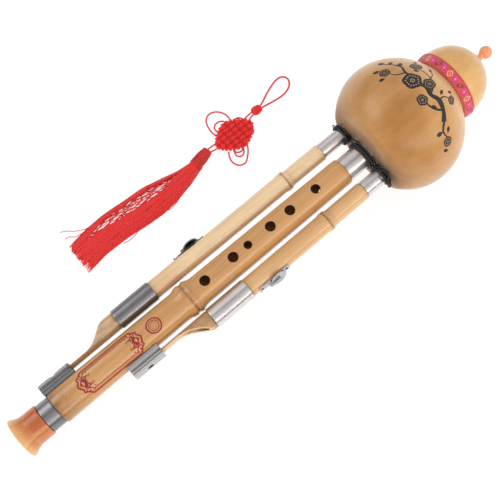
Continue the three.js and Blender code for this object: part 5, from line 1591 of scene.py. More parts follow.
def ribbon_material(warp_threads=420, weft_threads=0.5):
    """Woven colours from the mesh with a fine thread pattern across the ribbon"""
    material = bpy.data.materials.new("WovenRibbon")
    material.use_nodes = True
    nodes = Nodes(material.node_tree)
    shader = material.node_tree.nodes["Principled BSDF"]
    tint = nodes.attribute("weave").outputs["Color"]
    uv = nodes.add("ShaderNodeUVMap", uv_map="UVMap").outputs[0]
    split = nodes.add("ShaderNodeSeparateXYZ", {0: uv}).outputs
    warp = nodes.math("SINE", nodes.times(split["X"], TURN * warp_threads))
    weft = nodes.math("SINE", nodes.times(split["Y"], TURN * weft_threads))
    weave = nodes.times(warp, weft)
    base = nodes.mix(nodes.remap(weave, -1, 1, 0.28, 0.0), tint, (0.16, 0.02, 0.02))
    fuzz = nodes.noise(frame_coordinates(nodes, FLUTE), 1800, 2)
    base = nodes.mix(nodes.remap(fuzz, 0.5, 0.8, 0, 0.2), base, (0.9, 0.7, 0.6))
    nodes.feed(shader.inputs["Base Color"], base)
    nodes.feed(shader.inputs["Roughness"], nodes.remap(fuzz, 0.3, 0.7, 0.5, 0.75))
    nodes.feed(shader.inputs["Sheen Weight"], 0.3)
    nodes.feed(shader.inputs["Normal"], bumped(nodes, 0.4, 0.1, weave))
    return material


# Drawing on the gourd: u along the flute, v round it, in mm
TRUNK = ((366, -34), (371, -27), (373, -19), (370.5, -12), (372, -5), (369, 1), (371.5, 7))
BRANCHES = (
    (((371, -27), (366.5, -23), (363.5, -17), (364.5, -11)), (1.3, 0.5)),
    (((370.5, -12), (376.5, -8), (380.5, -1), (381, 7), (379, 14)), (1.0, 0.35)),
    (((371.5, 7), (369, 14), (371, 21), (368.5, 28), (365, 33)), (1.6, 0.4)),
    (((366, -34), (361.5, -39), (362.5, -46)), (1.5, 0.5)),
    (((369, 14), (362.5, 16.5), (360, 21)), (0.8, 0.3)),
    (((380.5, -1), (384.5, 1.5), (386.5, 6)), (0.6, 0.3)),
    (((373, -19), (378.5, -20), (382, -24.5)), (0.9, 0.35)),
)
BLOSSOMS = (
    (367.6, 5.0, 7.4), (376.0, -4.6, 5.4), (362.4, -11.2, 4.4), (380.4, 16.8, 4.8), (383.0, -27.4, 4.0),
    (361.2, -48.2, 4.0), (358.6, 24.4, 4.2),
)
BUDS = (
    (365.8, -20.6, 2.4, 1.7), (355.2, 30.4, -0.6, 1.7), (387, 7.8, 0.9, 1.4), (372.2, 24.6, 0.9, 1.9),
    (364.4, 36.4, 1.9, 2.0), (376.8, 11.4, 2.2, 1.4), (358.0, -38.6, 3.0, 1.8), (379.4, -16.0, 0.4, 1.6),
    (368.8, 31.4, 0.5, 1.6), (383.6, 23.4, 1.1, 1.5), (386.6, -21.6, 2.0, 1.5), (357.0, -53.4, 2.4, 1.5),
    (352.8, 20.6, 2.8, 1.5), (366.0, -41.0, 0.8, 1.5),
)


class HULUSI_OT_gourd_drawing(bpy.types.Operator):
    """Blossoming branch drawn on the gourd"""
    bl_idname = "hulusi.gourd_drawing"
    bl_label = "Gourd drawing"

    def execute(self, context):
        height = sizes().print_height / MM
        form = Form()
        stroke(form, on_gourd, spline(TRUNK, count=40), (4.6, 3.4, 4.4, 3.0, 3.8, 2.8, 3.0), height, columns=3)
        for k, (path, widths) in enumerate(BRANCHES):
            stroke(form, on_gourd, spline(path, count=26), [1.3 * w + 0.2 for w in widths], height + 0.002 * k)
        for k, (u, v, radius) in enumerate(BLOSSOMS):
            self.blossom(form, (u, v), radius, height + 0.01, 0.5 * k)
        for u, v, turn, size in BUDS:
            bud = [on_circle((u, v), size * 1.6 * s, turn) for s in np.linspace(-1, 1, 9)]
            stroke(form, on_gourd, bud, (0.1, 1.2 * size, 1.9 * size, 1.6 * size, 0.1), height + 0.008, columns=2)
        ink = matt_finish("DrawnInk", colours().ink, (0.05, 0.03, 0.03), 500, 0.4)
        pale = matt_finish("PaleInk", colours().ink_pale, (0.4, 0.25, 0.15), 500, 0.5)
        piece = form.object("GourdDrawing", [ink, pale], FLUTE, 60)
        mount(piece, "gourd", "gourd")
        return {"FINISHED"}

    def blossom(self, form, centre, radius, height, turn):
        """Five petals with an outer and an inner ring of pale dots"""
        for k in range(5):
            path = [on_circle(centre, radius * s, turn + TURN * k / 5) for s in np.linspace(0.05, 1.0, 9)]
            widths = [radius * w for w in (0.25, 0.6, 0.95, 1.12, 1.1, 0.9, 0.2)]
            stroke(form, on_gourd, path, widths, height + 0.003 * k, columns=3)
        for count, share, wave, size in ((15, 0.62, 0.05, 0.05 * radius + 0.08), (6, 0.2, 0, 0.06 * radius)):
            for k in range(count):
                angle = turn + TURN * k / count
                reach = radius * (share + wave * math.cos(5 * (angle - turn)))
                dot(form, on_gourd, on_circle(centre, reach, angle), size, height + 0.05, finish=1)


# Main pipe
MAIN_OUTER = (
    (PIPE_FOOT, FOOT_RADIUS), (PIPE_END, FOOT_RADIUS), (PIPE_END, 11.85), (32.9, 12.35), (34, 12.45), (142.9, 11.7),
    (145.3, 12.1), (147.1, 12.8), (148.6, 13.2), (149.9, 13.3), (151.0, 13.0), (151.7, 12.5), (152.4, 12.45),
    (153.1, 12.8), (154.3, 13.3), (155.5, 13.3), (156.8, 12.7), (158.6, 11.95), (161.3, 11.5), (298.7, 10.6),
    (299.3, 10.2), (PIPE_SHOULDER, 8.32), (PIPE_TENON_END, 8.32),
)
MAIN_INNER = ((299.3, 6.5), (296.05, 8), (PIPE_FOOT, 8))
MAIN_NODE = 152.1


def main_radius(x):
    outer = MAIN_OUTER[3:-2]
    return float(np.interp(x, [p[0] for p in outer], [p[1] for p in outer]))


def pipe_wobble(start, end, amount, node, clear=8):
    """Unevenness of a bamboo pipe between two places, none of it beside its node"""
    def wobble(x, angle):
        wave = np.sin(2 * angle + x / 40) + 0.6 * np.sin(3 * angle - x / 23)
        return amount * hump(x, start, end) * wave * (np.abs(x - node) > clear)
    return wobble


def node_stain(node, low_end, high_end, foot=0.0):
    """Scar lines at the bamboo's node, skin that darkens towards the foot and dark cut ends"""
    def stain(points):
        x = points[:, 0]
        scar = 1.25 * np.exp(-(((x - node) / 0.9) ** 2)) + 0.55 * np.exp(-(((x - node - 3.6) / 0.8) ** 2))
        from_low, from_high = np.maximum(0, x - low_end), np.maximum(0, high_end - x)
        cuts = 0.5 * np.exp(-from_low / 2.2) + 0.35 * np.exp(-from_high / 1.6)
        return 0.75 * scar + foot * np.exp(-((from_low / 16) ** 2)) + cuts
    return stain


MAIN_WOBBLE = pipe_wobble(35, 297, 0.07, 152)


def on_main_pipe(u, v, lift):
    """Point of the main pipe's skin: u along it, v round it from the top towards +Y"""
    radius = main_radius(u)
    return on_round(radius, u, math.pi / 2 - v / radius, lift, MAIN_WOBBLE)


def to_arc(u, y):
    """Way round the main pipe's skin to a place that lies y beside its top line"""
    return main_radius(u) * math.asin(y / main_radius(u))


# Printed marks: the frame from above, its pointed ends, and the ring
FRAME_RUN = (53.0, 109.1)
FRAME_LATERAL = (6.9, -10.1)
FRAME_LINES = ((0.0, 1.25), (1.9, 0.7))
FRAME_WIDEST = 11.2
POINT_LENGTH = 4.2
NOTCH_LENGTH = 2.6
RING_MARK = (120.5, -1.4, 5.5)
RING_LINES = ((0, 1.15), (1.75, 0.6))
RING_DOTS = 12
RING_DOTS_RADIUS = 2.3
OVERLAP = 0.004
BEADS = ((5.6, 6.2, 0.75), (8.4, 6.9, 0.6), (3.6, 5.0, 0.6), (10.6, 5.6, 0.5), (11.6, 3.4, 0.45))


class HULUSI_OT_main_pipe(bpy.types.Operator):
    """Main bamboo pipe with finger holes and printed marks"""
    bl_idname = "hulusi.main_pipe"
    bl_label = "Main pipe"

    def execute(self, context):
        profile = open_wall(MAIN_OUTER, MAIN_INNER, 3, 6)
        stain = node_stain(MAIN_NODE, PIPE_END, PIPE_SHOULDER, 0.5)
        looks = [bamboo("main", "flute"), cut_bamboo()]
        pipe = turned("MainPipe", profile, 112, looks, FLUTE, MAIN_WOBBLE, stain, 35)
        edge = sizes().hole_edge / MM
        holes = [(at, "up", radius) for at, radius in FINGER_HOLES] + [(THUMB_HOLE[0], "down", THUMB_HOLE[1])]
        carve(pipe, [
            drill(at, way, 4, 20, radius, surface=main_radius(at), edge=edge) for at, way, radius in holes
        ], sharp=38)
        mount(pipe, "main_pipe", "bamboo_main", "main_pipe")
        self.marks()
        return {"FINISHED"}

    def marks(self):
        """Ornamental frame and double ring printed on the pipe"""
        height = sizes().print_height / MM
        form = Form()
        (u0, u1), (high, low) = FRAME_RUN, FRAME_LATERAL
        middle, half = (high + low) / 2, (high - low) / 2
        for inset, width in FRAME_LINES:
            outline = self.outline(u0 + inset * 1.2, u1 - inset * 1.2, middle, half - inset)
            outline = [(u, max(-FRAME_WIDEST, min(FRAME_WIDEST, y))) for u, y in outline]
            self.printed(form, outline, (width,), height)
        for end, sign in ((u0, 1), (u1, -1)):
            for side in (-1, 1):
                curl = []
                for t in np.linspace(0, 1, 22):
                    u, y = on_circle((6.6, 3.1), -2.3 * (1 - 0.8 * t), math.radians(400) * t)
                    curl.append((end + sign * u, middle + side * y))
                self.printed(form, curl, (0.6, 0.85, 0.5), height + OVERLAP)
            dot(form, on_main_pipe, (end + sign * 3.0, to_arc(end, middle)), 0.9, height + OVERLAP)
            self.spray(form, end, sign, middle, height)
        for u in np.arange(u0 + 9, u1 - 8, 1.15):
            y = middle + half - 0.75
            dash = [(u, to_arc(u, y - 0.5)), (u + 0.4, to_arc(u, y + 0.45))]
            stroke(form, on_main_pipe, dash, (0.28,), height)
        centre, radius = RING_MARK[:2], RING_MARK[2]
        for inset, width in RING_LINES:
            path = [on_circle(centre, radius - inset, a) for a in np.linspace(0, TURN, 49)]
            stroke(form, on_main_pipe, path, (width,), height)
        for a in turn_steps(RING_DOTS):
            dot(form, on_main_pipe, on_circle(centre, RING_DOTS_RADIUS, a), 0.3, height)
        material = matt_finish("PrintedRed", colours().print_red, (0.2, 0.01, 0.03), 700, 0.4)
        piece = form.object("PrintedMarks", [material], FLUTE, 60)
        mount(piece, "main_pipe", "bamboo_main")

    def printed(self, form, path, widths, height):
        """Stroke along a path that is drawn as seen from above"""
        stroke(form, on_main_pipe, [(u, to_arc(u, y)) for u, y in path], widths, height)

    def spray(self, form, end, sign, middle, height):
        """Leaves, beads and vines that fill a pointed end of the frame"""
        for k, turn in enumerate(np.linspace(-75, 75, 7)):
            a = math.radians(turn)
            leaf = [on_circle((0, middle), r, a) for r in np.linspace(1.2, 4.4, 7)]
            leaf = [(end + sign * (4.4 + u), y) for u, y in leaf]
            self.printed(form, leaf, (0.3, 1.15, 1.3, 0.8, 0.2), height + 0.002 * k)
        for side in (-1, 1):
            for at, away, size in BEADS:
                spot = (end + sign * at, to_arc(end, middle + side * away))
                dot(form, on_main_pipe, spot, size, height + OVERLAP)
            vine = []
            for t in np.linspace(0, 1, 22):
                u, y = on_circle((9.6, 1.6 + 2.4 * t), 1.7 * (1 - 0.7 * t), math.radians(330) * t)
                vine.append((end + sign * u, middle + side * y))
            self.printed(form, vine, (0.4, 0.7, 0.35), height + OVERLAP)

    def outline(self, u0, u1, middle, half):
        """Long frame with notched, pointed ends"""
        corners = [
            (u0, middle), (u0 + POINT_LENGTH * 0.55, middle + half * 0.42),
            (u0 + POINT_LENGTH * 0.4, middle + half * 0.62), (u0 + POINT_LENGTH, middle + half * 0.72),
            (u0 + POINT_LENGTH + NOTCH_LENGTH, middle + half),
        ]
        side = corners + [(u1 - (u - u0), y) for u, y in reversed(corners)]
        lower = [(u, 2 * middle - y) for u, y in reversed(side[1:-1])]
        return refined(side + lower + [side[0]], 1.5, closed=False)


BELL_RIM = ((0, 13.4), (0, 15.0), (0.35, 15.4), (1.2, 15.55), (1.7, 15.3))
# Shares of the flare's length and height
BELL_FLARE = ((0.1, 0.86), (0.22, 0.7), (0.4, 0.44), (0.6, 0.21), (0.8, 0.06), (1.0, 0.0))
BELL_BORE = ((BELL_LENGTH, 10.35), (13.7, 10.35), (13.7, 9.2), (8, 9.2), (4, 11.2), (1, 13.0))
FOOT_SLEEVE = ((21.3, 10.35), (21.3, 11.15), (22.2, 11.25), (31.2, 11.25), (32.0, 11.1), (32.0, 10.35))


def bell_pale_rim_and_lit_side(points):
    """Paler plastic at the bell's rim, and painted light on the side that faces the strip lamps"""
    x, y = points[:, 0], points[:, 1]
    # x near 0 is the rim; y below -6 is the side towards the lamps, where light is painted
    return 0.85 * np.exp(-((x / 5.5) ** 2)) + 0.2 * (y < -6) * (x > 8)


class HULUSI_OT_bell(bpy.types.Operator):
    """Amber bell and the metal sleeve that holds it"""
    bl_idname = "hulusi.bell"
    bl_label = "Bell"

    def execute(self, context):
        outer = [*BELL_RIM, *((1.5 + 7.9 * a, 12.45 + 3.0 * b) for a, b in BELL_FLARE)]
        outer += [(14, 12.4), (20.6, 12.4), (BELL_LENGTH, 12.1)]
        material = finish(
            "AmberPlastic", "plastic", bump=0.2, depth=0.2,
            values={"Body": colours().amber, "Pale": colours().amber_pale, "Deep": (0.42, 0.1, 0.03)},
            # Pale Share takes the pale rim and the painted light on the lamp side
            sockets={"Pale Share": "stain"}, Subsurface_Weight=0.2, Subsurface_Radius=(0.006, 0.002, 0.001),
            Coat_Weight=0.5, Coat_Roughness=0.08,
        )
        profile = open_wall(outer, BELL_BORE, 0.9, 1.5)
        bell = turned("Bell", profile, 112, [material], FLUTE, stain=bell_pale_rim_and_lit_side, sharp=50)
        mount(bell, "main_pipe", "amber_plastic", "bell")
        section = refined(rounded(FOOT_SLEEVE, 0.25), 1.2)
        sleeve = turned("FootSleeve", section, 96, [silver("flute", 0.3, "dark")], FLUTE)
        mount(sleeve, "main_pipe", "silver", "foot_sleeve")
        return {"FINISHED"}


# Ferrules, sleeves and collars
def ferrule_section(start, radius):
    """Section of a ferrule with a rounded mouth"""
    inner, end = radius - FERRULE_WALL, GOURD_BASE + FERRULE_RUN
    points = [(start, inner), (start, radius - 0.28), (start + 0.08, radius - 0.1), (start + 0.35, radius)]
    return refined([*points, (end, radius), (end, inner)], 1.5)


class HULUSI_OT_ferrules(bpy.types.Operator):
    """Metal ferrules in the gourd's base and the drones' sleeves"""
    bl_idname = "hulusi.ferrules"
    bl_label = "Ferrules and sleeves"

    def execute(self, context):
        main = turned("MainFerrule", ferrule_section(PIPE_SHOULDER + FIT, MAIN_FERRULE_RADIUS), 96, [silver()])
        mount(main, "gourd", "silver", "main_ferrule")
        outer, inner = SLEEVE_RADIUS, SLEEVE_RADIUS - SLEEVE_WALL
        for side, drone in DRONES.items():
            place = PLACES[side + "_drone"]
            section = ferrule_section(drone["ferrule"] + FIT, drone["ferrule_radius"])
            ferrule = turned(side.title() + "Ferrule", section, 72, [silver(side + "_drone")], place)
            mount(ferrule, "gourd", "silver", side + "_ferrule")
            low, high = drone["sleeve"]
            section = refined(rounded([(low, inner), (low, outer), (high, outer), (high, inner)], 0.35, 3), 1.5)
            metal = silver(side + "_drone", tone=drone["sleeve_tone"])
            sleeve = turned(side.title() + "Sleeve", section, 80, [metal], place)
            mount(sleeve, side + "_drone", "silver", side + "_drone_sleeve")
        return {"FINISHED"}


def winding_path(radius, share, cord):
    """Turns of cord round a ferrule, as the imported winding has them"""
    start = GOURD_BASE - FIT - (WINDING_TURNS * WINDING_PITCH + cord / 2)
    ring = radius + FIT + cord / 2
    path = []
    for t in np.linspace(0, WINDING_TURNS, WINDING_STEPS * WINDING_TURNS + 1):
        a = TURN * (share + t)
        path.append((start + WINDING_PITCH * t, ring * math.cos(a), ring * math.sin(a)))
    return path


# Strands that cross from one collar to the next: x, y, z
BRIDGES = (
    ((318.2, 15.2, -5.0), (318.0, 14.6, -1.0), (317.6, 13.4, 3.6), (317.0, 10.8, 8.4), (316.6, 6.0, 11.8),
     (316.6, 0.0, 13.1), (316.9, -6.0, 11.9), (317.4, -10.8, 8.2), (318.0, -13.2, 3.2), (318.4, -14.2, -2.0),
     (318.6, -14.6, -6.0)),
    ((319.9, 15.6, -5.0), (319.7, 15.0, 0.0), (319.4, 13.0, 5.8), (319.0, 9.2, 10.4), (318.8, 3.4, 13.0),
     (318.8, -3.0, 13.1), (319.0, -8.8, 10.6), (319.4, -12.6, 6.2), (319.8, -14.6, 0.5), (320.0, -15.2, -5.0)),
    ((316.0, -12.6, -5.0), (316.2, -13.2, 1.0), (317.2, -15.2, 6.6), (318.8, -19.2, 9.6), (319.6, -23.8, 9.4),
     (319.4, -28.2, 6.4), (318.2, -30.4, 1.6), (317.2, -30.2, -4.0)),
    ((320.6, -12.4, -5.0), (320.2, -13.6, 2.0), (318.8, -16.4, 7.8), (316.6, -20.6, 10.0), (315.2, -25.0, 8.8),
     (315.4, -28.8, 5.2), (316.8, -30.6, 0.6), (318.6, -30.0, -4.6)),
    ((317.4, -16.0, 5.0), (316.4, -18.4, 8.6), (317.2, -21.2, 10.6), (319.2, -22.6, 9.9), (320.2, -25.2, 8.8),
     (318.8, -27.6, 8.2), (316.8, -28.8, 6.4), (316.6, -30.6, 3.2), (318.2, -31.2, 0.0), (318.6, -30.2, -4.0)),
)
FRAYS = (
    ((317.0, -27.0, 3.0), (315.8, -29.6, 5.4), (314.6, -31.8, 4.6), (315.2, -32.8, 2.6), (317.0, -32.0, 1.4),
     (318.0, -29.0, -2.0)),
    ((316.6, 27.0, 3.0), (316.2, 29.6, 4.4), (317.0, 31.2, 3.4), (318.2, 30.6, 2.0), (318.4, 28.0, 0.0)),
)


class HULUSI_OT_collars(bpy.types.Operator):
    """Black cord wound round each ferrule"""
    bl_idname = "hulusi.collars"
    bl_label = "Cord collars"

    def execute(self, context):
        cord = sizes().black_cord / MM
        main = self.wound("MainWinding", MAIN_FERRULE_RADIUS, 0.0, cord, FLUTE)
        loose = [
            cords(name, [spline(path, 0.5) for path in paths], thick, black_cord(), FLUTE, sides, 3, hollow, lay)
            for name, paths, thick, sides, hollow, lay in (
                ("Bridges", BRIDGES, cord * 0.8, 15, 0.16, 5), ("Frays", FRAYS, 0.8, 9, 0.15, 3),
            )
        ]
        mount(joined("MainWinding", [main, *loose]), "gourd", "black_cord", "main_cord_winding")
        for side, drone in DRONES.items():
            name, place = side.title() + "Winding", PLACES[side + "_drone"]
            piece = self.wound(name, drone["ferrule_radius"], drone["winding_start"], cord, place)
            mount(piece, "gourd", "black_cord", side + "_cord_winding")
        return {"FINISHED"}

    def wound(self, name, radius, share, cord, place):
        """Winding of soft cord, whose turns press into each other"""
        path = winding_path(radius, share, cord)
        return cords(name, [path], cord * 1.06, black_cord(), place, sides=18, hollow=0.1, lay=7)


# Drones: the tail's tongue is flat at TONGUE_TOP and goes TONGUE_DEPTH into the clip
TONGUE_TOP = 2.2
TONGUE_DEPTH = 7
PIPE_TENON = 15
TAIL_TENON = 13
TAIL_BORE = 4.8
DRONE_BORE = 4.6
REED_TENON = 14
TONE_HOLE = 1.8
SCREW_HOLE = 0.9


class HULUSI_OT_drones(bpy.types.Operator):
    """Drone pipes and their scooped tails"""
    bl_idname = "hulusi.drones"
    bl_label = "Drones"

    def execute(self, context):
        for side, drone in DRONES.items():
            place, skin = PLACES[side + "_drone"], bamboo(side, side + "_drone")
            self.pipe(side, drone, place, skin)
            self.tail(side, drone, place, skin)
        return {"FINISHED"}

    def pipe(self, side, drone, place, skin):
        lower, upper, node, ferrule = drone["lower"], drone["upper"], drone["node"], drone["ferrule"]
        ring = (lower + upper) / 2 + 0.95
        start, shoulder = drone["sleeve"][1] - PIPE_TENON, drone["sleeve"][1] + FIT
        end, tenon = ferrule + REED_TENON, drone["ferrule_radius"] - 1.2
        outer = [
            (start, SLEEVE_SEAT), (shoulder, SLEEVE_SEAT), (shoulder, lower - 0.3), (shoulder + 0.35, lower),
            (node - 4.2, lower), (node - 2.4, lower + 0.35), (node - 1.3, ring - 0.05), (node - 0.6, ring),
            (node + 0.1, ring - 0.5), (node + 0.8, ring), (node + 1.7, ring - 0.12), (node + 2.6, upper + 0.45),
            (node + 4.4, upper), (ferrule - 0.35, upper), (ferrule, upper - 0.3), (ferrule, tenon), (end, tenon),
        ]
        inner = [(end, REED_END_BORE), (ferrule, REED_END_BORE), (ferrule - 3.5, DRONE_BORE), (start, DRONE_BORE)]
        wobble = pipe_wobble(shoulder + 3, ferrule - 3, 0.05, node)
        stain = node_stain(node + 0.1, shoulder, ferrule)
        name = side.title() + "DronePipe"
        pipe = turned(name, open_wall(outer, inner, 3, 8), 84, [skin], place, wobble, stain, 35)
        plate = drone["knob"] - PLATE_LENGTH * PLATE_KNOB_SHARE
        holes = [(drone["knob"], TONE_HOLE), *((plate + at, SCREW_HOLE) for at in PLATE_SCREWS)]
        carve(pipe, [drill(at, "out", 2, 12, radius, switch_place(side)) for at, radius in holes], sharp=38)
        mount(pipe, side + "_drone", "bamboo_" + side, side + "_drone_pipe")

    def tail(self, side, drone, place, skin):
        lower, sleeve = drone["lower"], drone["sleeve"][0]
        start, shoulder, end = drone["clip"] + CLIP_LENGTH - TONGUE_DEPTH, sleeve - FIT, sleeve + TAIL_TENON
        outer = [
            (start, TAIL_BORE), (start, lower - 0.3), (start + 0.4, lower), (shoulder - 0.3, lower),
            (shoulder, lower - 0.25), (shoulder, SLEEVE_SEAT), (end, SLEEVE_SEAT), (end, TAIL_BORE),
        ]
        # The tail has no node and only its end at the sleeve is dark
        stain = node_stain(-99, shoulder + 99, shoulder)
        tail = turned(side.title() + "DroneTail", refined(outer, 2), 84, [skin], place, None, stain, 35)
        carve(tail, [self.slab(drone, start, shoulder, place)], sharp=35)
        bevel(tail, 0.28, 40)
        mount(tail, side + "_drone", "bamboo_" + side, side + "_drone_tail")

    def slab(self, drone, start, shoulder, place):
        """What the knife takes off the tail: flat along the tongue, then a curve up to the full pipe"""
        lower = drone["lower"]
        low, high = TONGUE_TOP - lower, lower + 1
        first, last = drone["scoop"], shoulder - FIT
        a, b = (share * (last - first) for share in drone["scoop_shares"])
        curve = np.array([(first, low), (first + a, low), (last - b, high), (last, high)])
        points = [(start - 1, low)]
        for t in np.linspace(0, 1, 40):
            weights = ((1 - t) ** 3, 3 * t * (1 - t) ** 2, 3 * t * t * (1 - t), t**3)
            points.append(tuple(np.array(weights) @ curve))
        top, half = high + 3, lower + 2
        rings = [[(x, y, -half), (x, y, half), (x, top, half), (x, top, -half)] for x, y in points]
        return lofted("cutter", rings, cut_bamboo(), place)


# Clips
CLIP_CORNER = 2.2
CLIP_HOLE = 2.5
CLIP_SCREW_HOLE = 1.3
CLIP_END_INSET = 0.25
CLIP_DIP = 0.9
FOLD_DEPTH = 0.55
FOLD_WIDTH = 0.9


def clip_section(inner, outer, half, corner):
    """Outline across the clip, from the pipe outwards and back"""
    points = [(inner, -half)]
    for t in np.linspace(0, 1, 8):
        y = (1 - t) ** 2 * (outer - corner) + (1 - (1 - t) ** 2) * outer
        points.append((y, (1 - t * t) * -half + t * t * (corner - half)))
    points += [(y, -z) for y, z in reversed(points[1:])]
    points.append((inner, half))
    return points


def grooved(points, places, half):
    """Adds fold lines to the clip's top and bottom walls"""
    out = []
    for (y1, z1), (y2, z2) in zip(points, points[1:] + points[:1]):
        out.append((y1, z1))
        if abs(z1) == half and z1 == z2:
            spots = [p for p in places if min(y1, y2) + FOLD_WIDTH < p < max(y1, y2) - FOLD_WIDTH]
            for p in sorted(spots, reverse=bool(y1 > y2)):
                step = math.copysign(FOLD_WIDTH / 2, y2 - y1)
                out += [(p - step, z1), (p, z1 - math.copysign(FOLD_DEPTH, z1)), (p + step, z1)]
    return out


class HULUSI_OT_clips(bpy.types.Operator):
    """Folded metal clips on the main pipe and their screws"""
    bl_idname = "hulusi.clips"
    bl_label = "Clips"

    def execute(self, context):
        for side, drone in DRONES.items():
            place = PLACES[side + "_clip"]
            self.clip(side, drone["clip"], place, silver(side + "_clip", 0.26, drone["tone"]))
            screw = screw_piece(
                side.title() + "ClipScrew", drone["clip"] + CLIP_LENGTH / 2, place, seat=14.6, head=(1.8, 0.9),
                shank=1.0, depth=4.1, slot=0.6,
            )
            mount(screw, "main_pipe", "dark_steel", side + "_clip_screw")
        return {"FINISHED"}

    def clip(self, side, start, place, metal):
        """Box with folds and a hole, two cheeks that lie on the pipe and, on the left one, a tab at its end"""
        end, middle = start + CLIP_LENGTH, start + CLIP_LENGTH / 2
        section = clip_section(CLIP_INNER, CLIP_OUTER, CLIP_HALF_HEIGHT, CLIP_CORNER)
        section = grooved(section, CLIP_FOLDS, CLIP_HALF_HEIGHT)
        xs = [start, start + 0.25, *np.linspace(start + 1.2, end - 0.5, 22), end]
        rings = []
        for x in xs:
            inset = CLIP_END_INSET if x in (xs[0], xs[-1]) else 0.0
            dip = CLIP_DIP * math.exp(-(((x - middle) / 2.0) ** 2)) if side == "left" else 0.0
            ring = []
            for y, z in section:
                near = max(0.0, (y - 18.5) / 1.6)
                ring.append((x, y - inset * (y > 16) - dip * near * (z > 0), z - math.copysign(inset, z)))
            rings.append(ring)
        clip = lofted(side.title() + "Clip", rings, metal, place, 30)
        hollow = clip_section(CLIP_INNER + CLIP_SHEET, CLIP_OUTER - CLIP_SHEET, CLIP_HALF_HEIGHT - 1.0, 1.5)
        carve(clip, [
            prism("cutter", hollow, (start + CLIP_SHEET, end + 1), metal, place),
            drill(middle, "out", 17.9, 21.1, CLIP_HOLE, place, material=metal),
            drill(middle, "out", 13, 14.9, CLIP_SCREW_HOLE, place, material=metal),
        ], sharp=30)
        bevel(clip, 0.12, 50)
        self.paint_fold_shade(clip, place)
        added = []
        for high in (CLIP_HALF_HEIGHT, -CLIP_HALF_HEIGHT):
            low = high - math.copysign(0.5, high)
            ring = [(11.5, low), (CLIP_INNER + 0.1, low), (CLIP_INNER + 0.1, high), (11.3, high)]
            added.append(prism("Cheek", ring, np.linspace(start + 0.1, end - 0.1, 12), metal, place))
        if side == "left":
            ring = rounded([(11.55, -3.1), (14.6, -3.1), (14.6, 3.1), (11.55, 3.1)], 0.8, 3)
            added.append(prism("Tab", ring, (start + 0.02, start + CLIP_SHEET), metal, place))
        mount(joined(side.title() + "Clip", [clip, *added]), "main_pipe", "silver", side + "_clip")

    def paint_fold_shade(self, clip, place):
        """Painted shade in the folds of the clip's top and bottom walls, whose faces take the dark steel finish"""
        clip.data.materials.append(steel())
        back = place.inverted()
        for face in clip.data.polygons:
            y, z = (back @ (face.center / MM))[1:]
            grooved_wall = CLIP_HALF_HEIGHT - 0.6 < abs(z) < CLIP_HALF_HEIGHT - 0.08
            if grooved_wall and any(abs(y - fold) < 0.5 for fold in CLIP_FOLDS):
                face.material_index = len(clip.data.materials) - 1


def screw_piece(name, along, place, seat, head, shank, depth, slot):
    """Screw with a slotted round head that points out along +Y"""
    radius, height = head
    low, high = seat - depth, seat + height
    profile = [(low, shank * 0.6), (low + 0.3, shank)]
    pitch = max(0.5, shank * 0.6)
    for k in range(int((depth - 0.4) / pitch)):
        base = low + 0.3 + k * pitch
        profile += [(base + pitch * 0.5, shank * 0.82), (base + pitch * 0.95, shank)]
    profile += [
        (seat, shank), (seat, radius), (seat + height * 0.35, radius), (seat + height * 0.75, radius * 0.86),
        (high, radius * 0.5),
    ]
    x, y, z = np.moveaxis(lathe_rings(profile, 40), 2, 0)
    form = Form()
    form.loft(np.stack([y + along, x, z], axis=2), poles=((along, low, 0), (along, high, 0)))
    # The slot's walls take the dark hole finish: painted shade in the slot
    screw = form.object(name, [steel(), hole_wall()], place, 35)
    deep, a, b = seat + height / 2, along - slot / 2, along + slot / 2
    rings = [[(a, deep, z), (b, deep, z), (b, high + 1, z), (a, high + 1, z)] for z in (-radius - 1, radius + 1)]
    return carve(screw, [lofted("cutter", rings, hole_wall(), place)], sharp=35)


# Switches
PLATE_HALF = 3.6
PLATE_FOOT = 3.6
PLATE_RAMP = 1.0
CURL = 0.45
CURL_SWEEP = 1.3 * math.pi
SLOT_HALF = 1.6
STEM = 1.2
KNOB_GAP = 0.03
RIDGE_DEPTH = 0.35
# The knob from its stem to the hollow in its top: height over its underside, radius and depth of its ridges
KNOB_LEVELS = (
    (-0.9, STEM, 0), (-0.02, STEM, 0), (0, 6.1, 0), (0.1, 6.6, 1), (0.5, 6.7, 1), (0.6, 6.85, 1), (0.85, 6.9, 1),
    (1.05, 6.7, 1), (1.15, 6.2, 1), (1.15, 5.4, 0.8), (0.95, 4.9, 0), (0.85, 3.0, 0),
)


def switch_place(side):
    """Frame of a drone's switch, which sits turned a little round its pipe"""
    return PLACES[side + "_drone"] @ Matrix.Rotation(SWITCH_TURN[side], 4, "X")


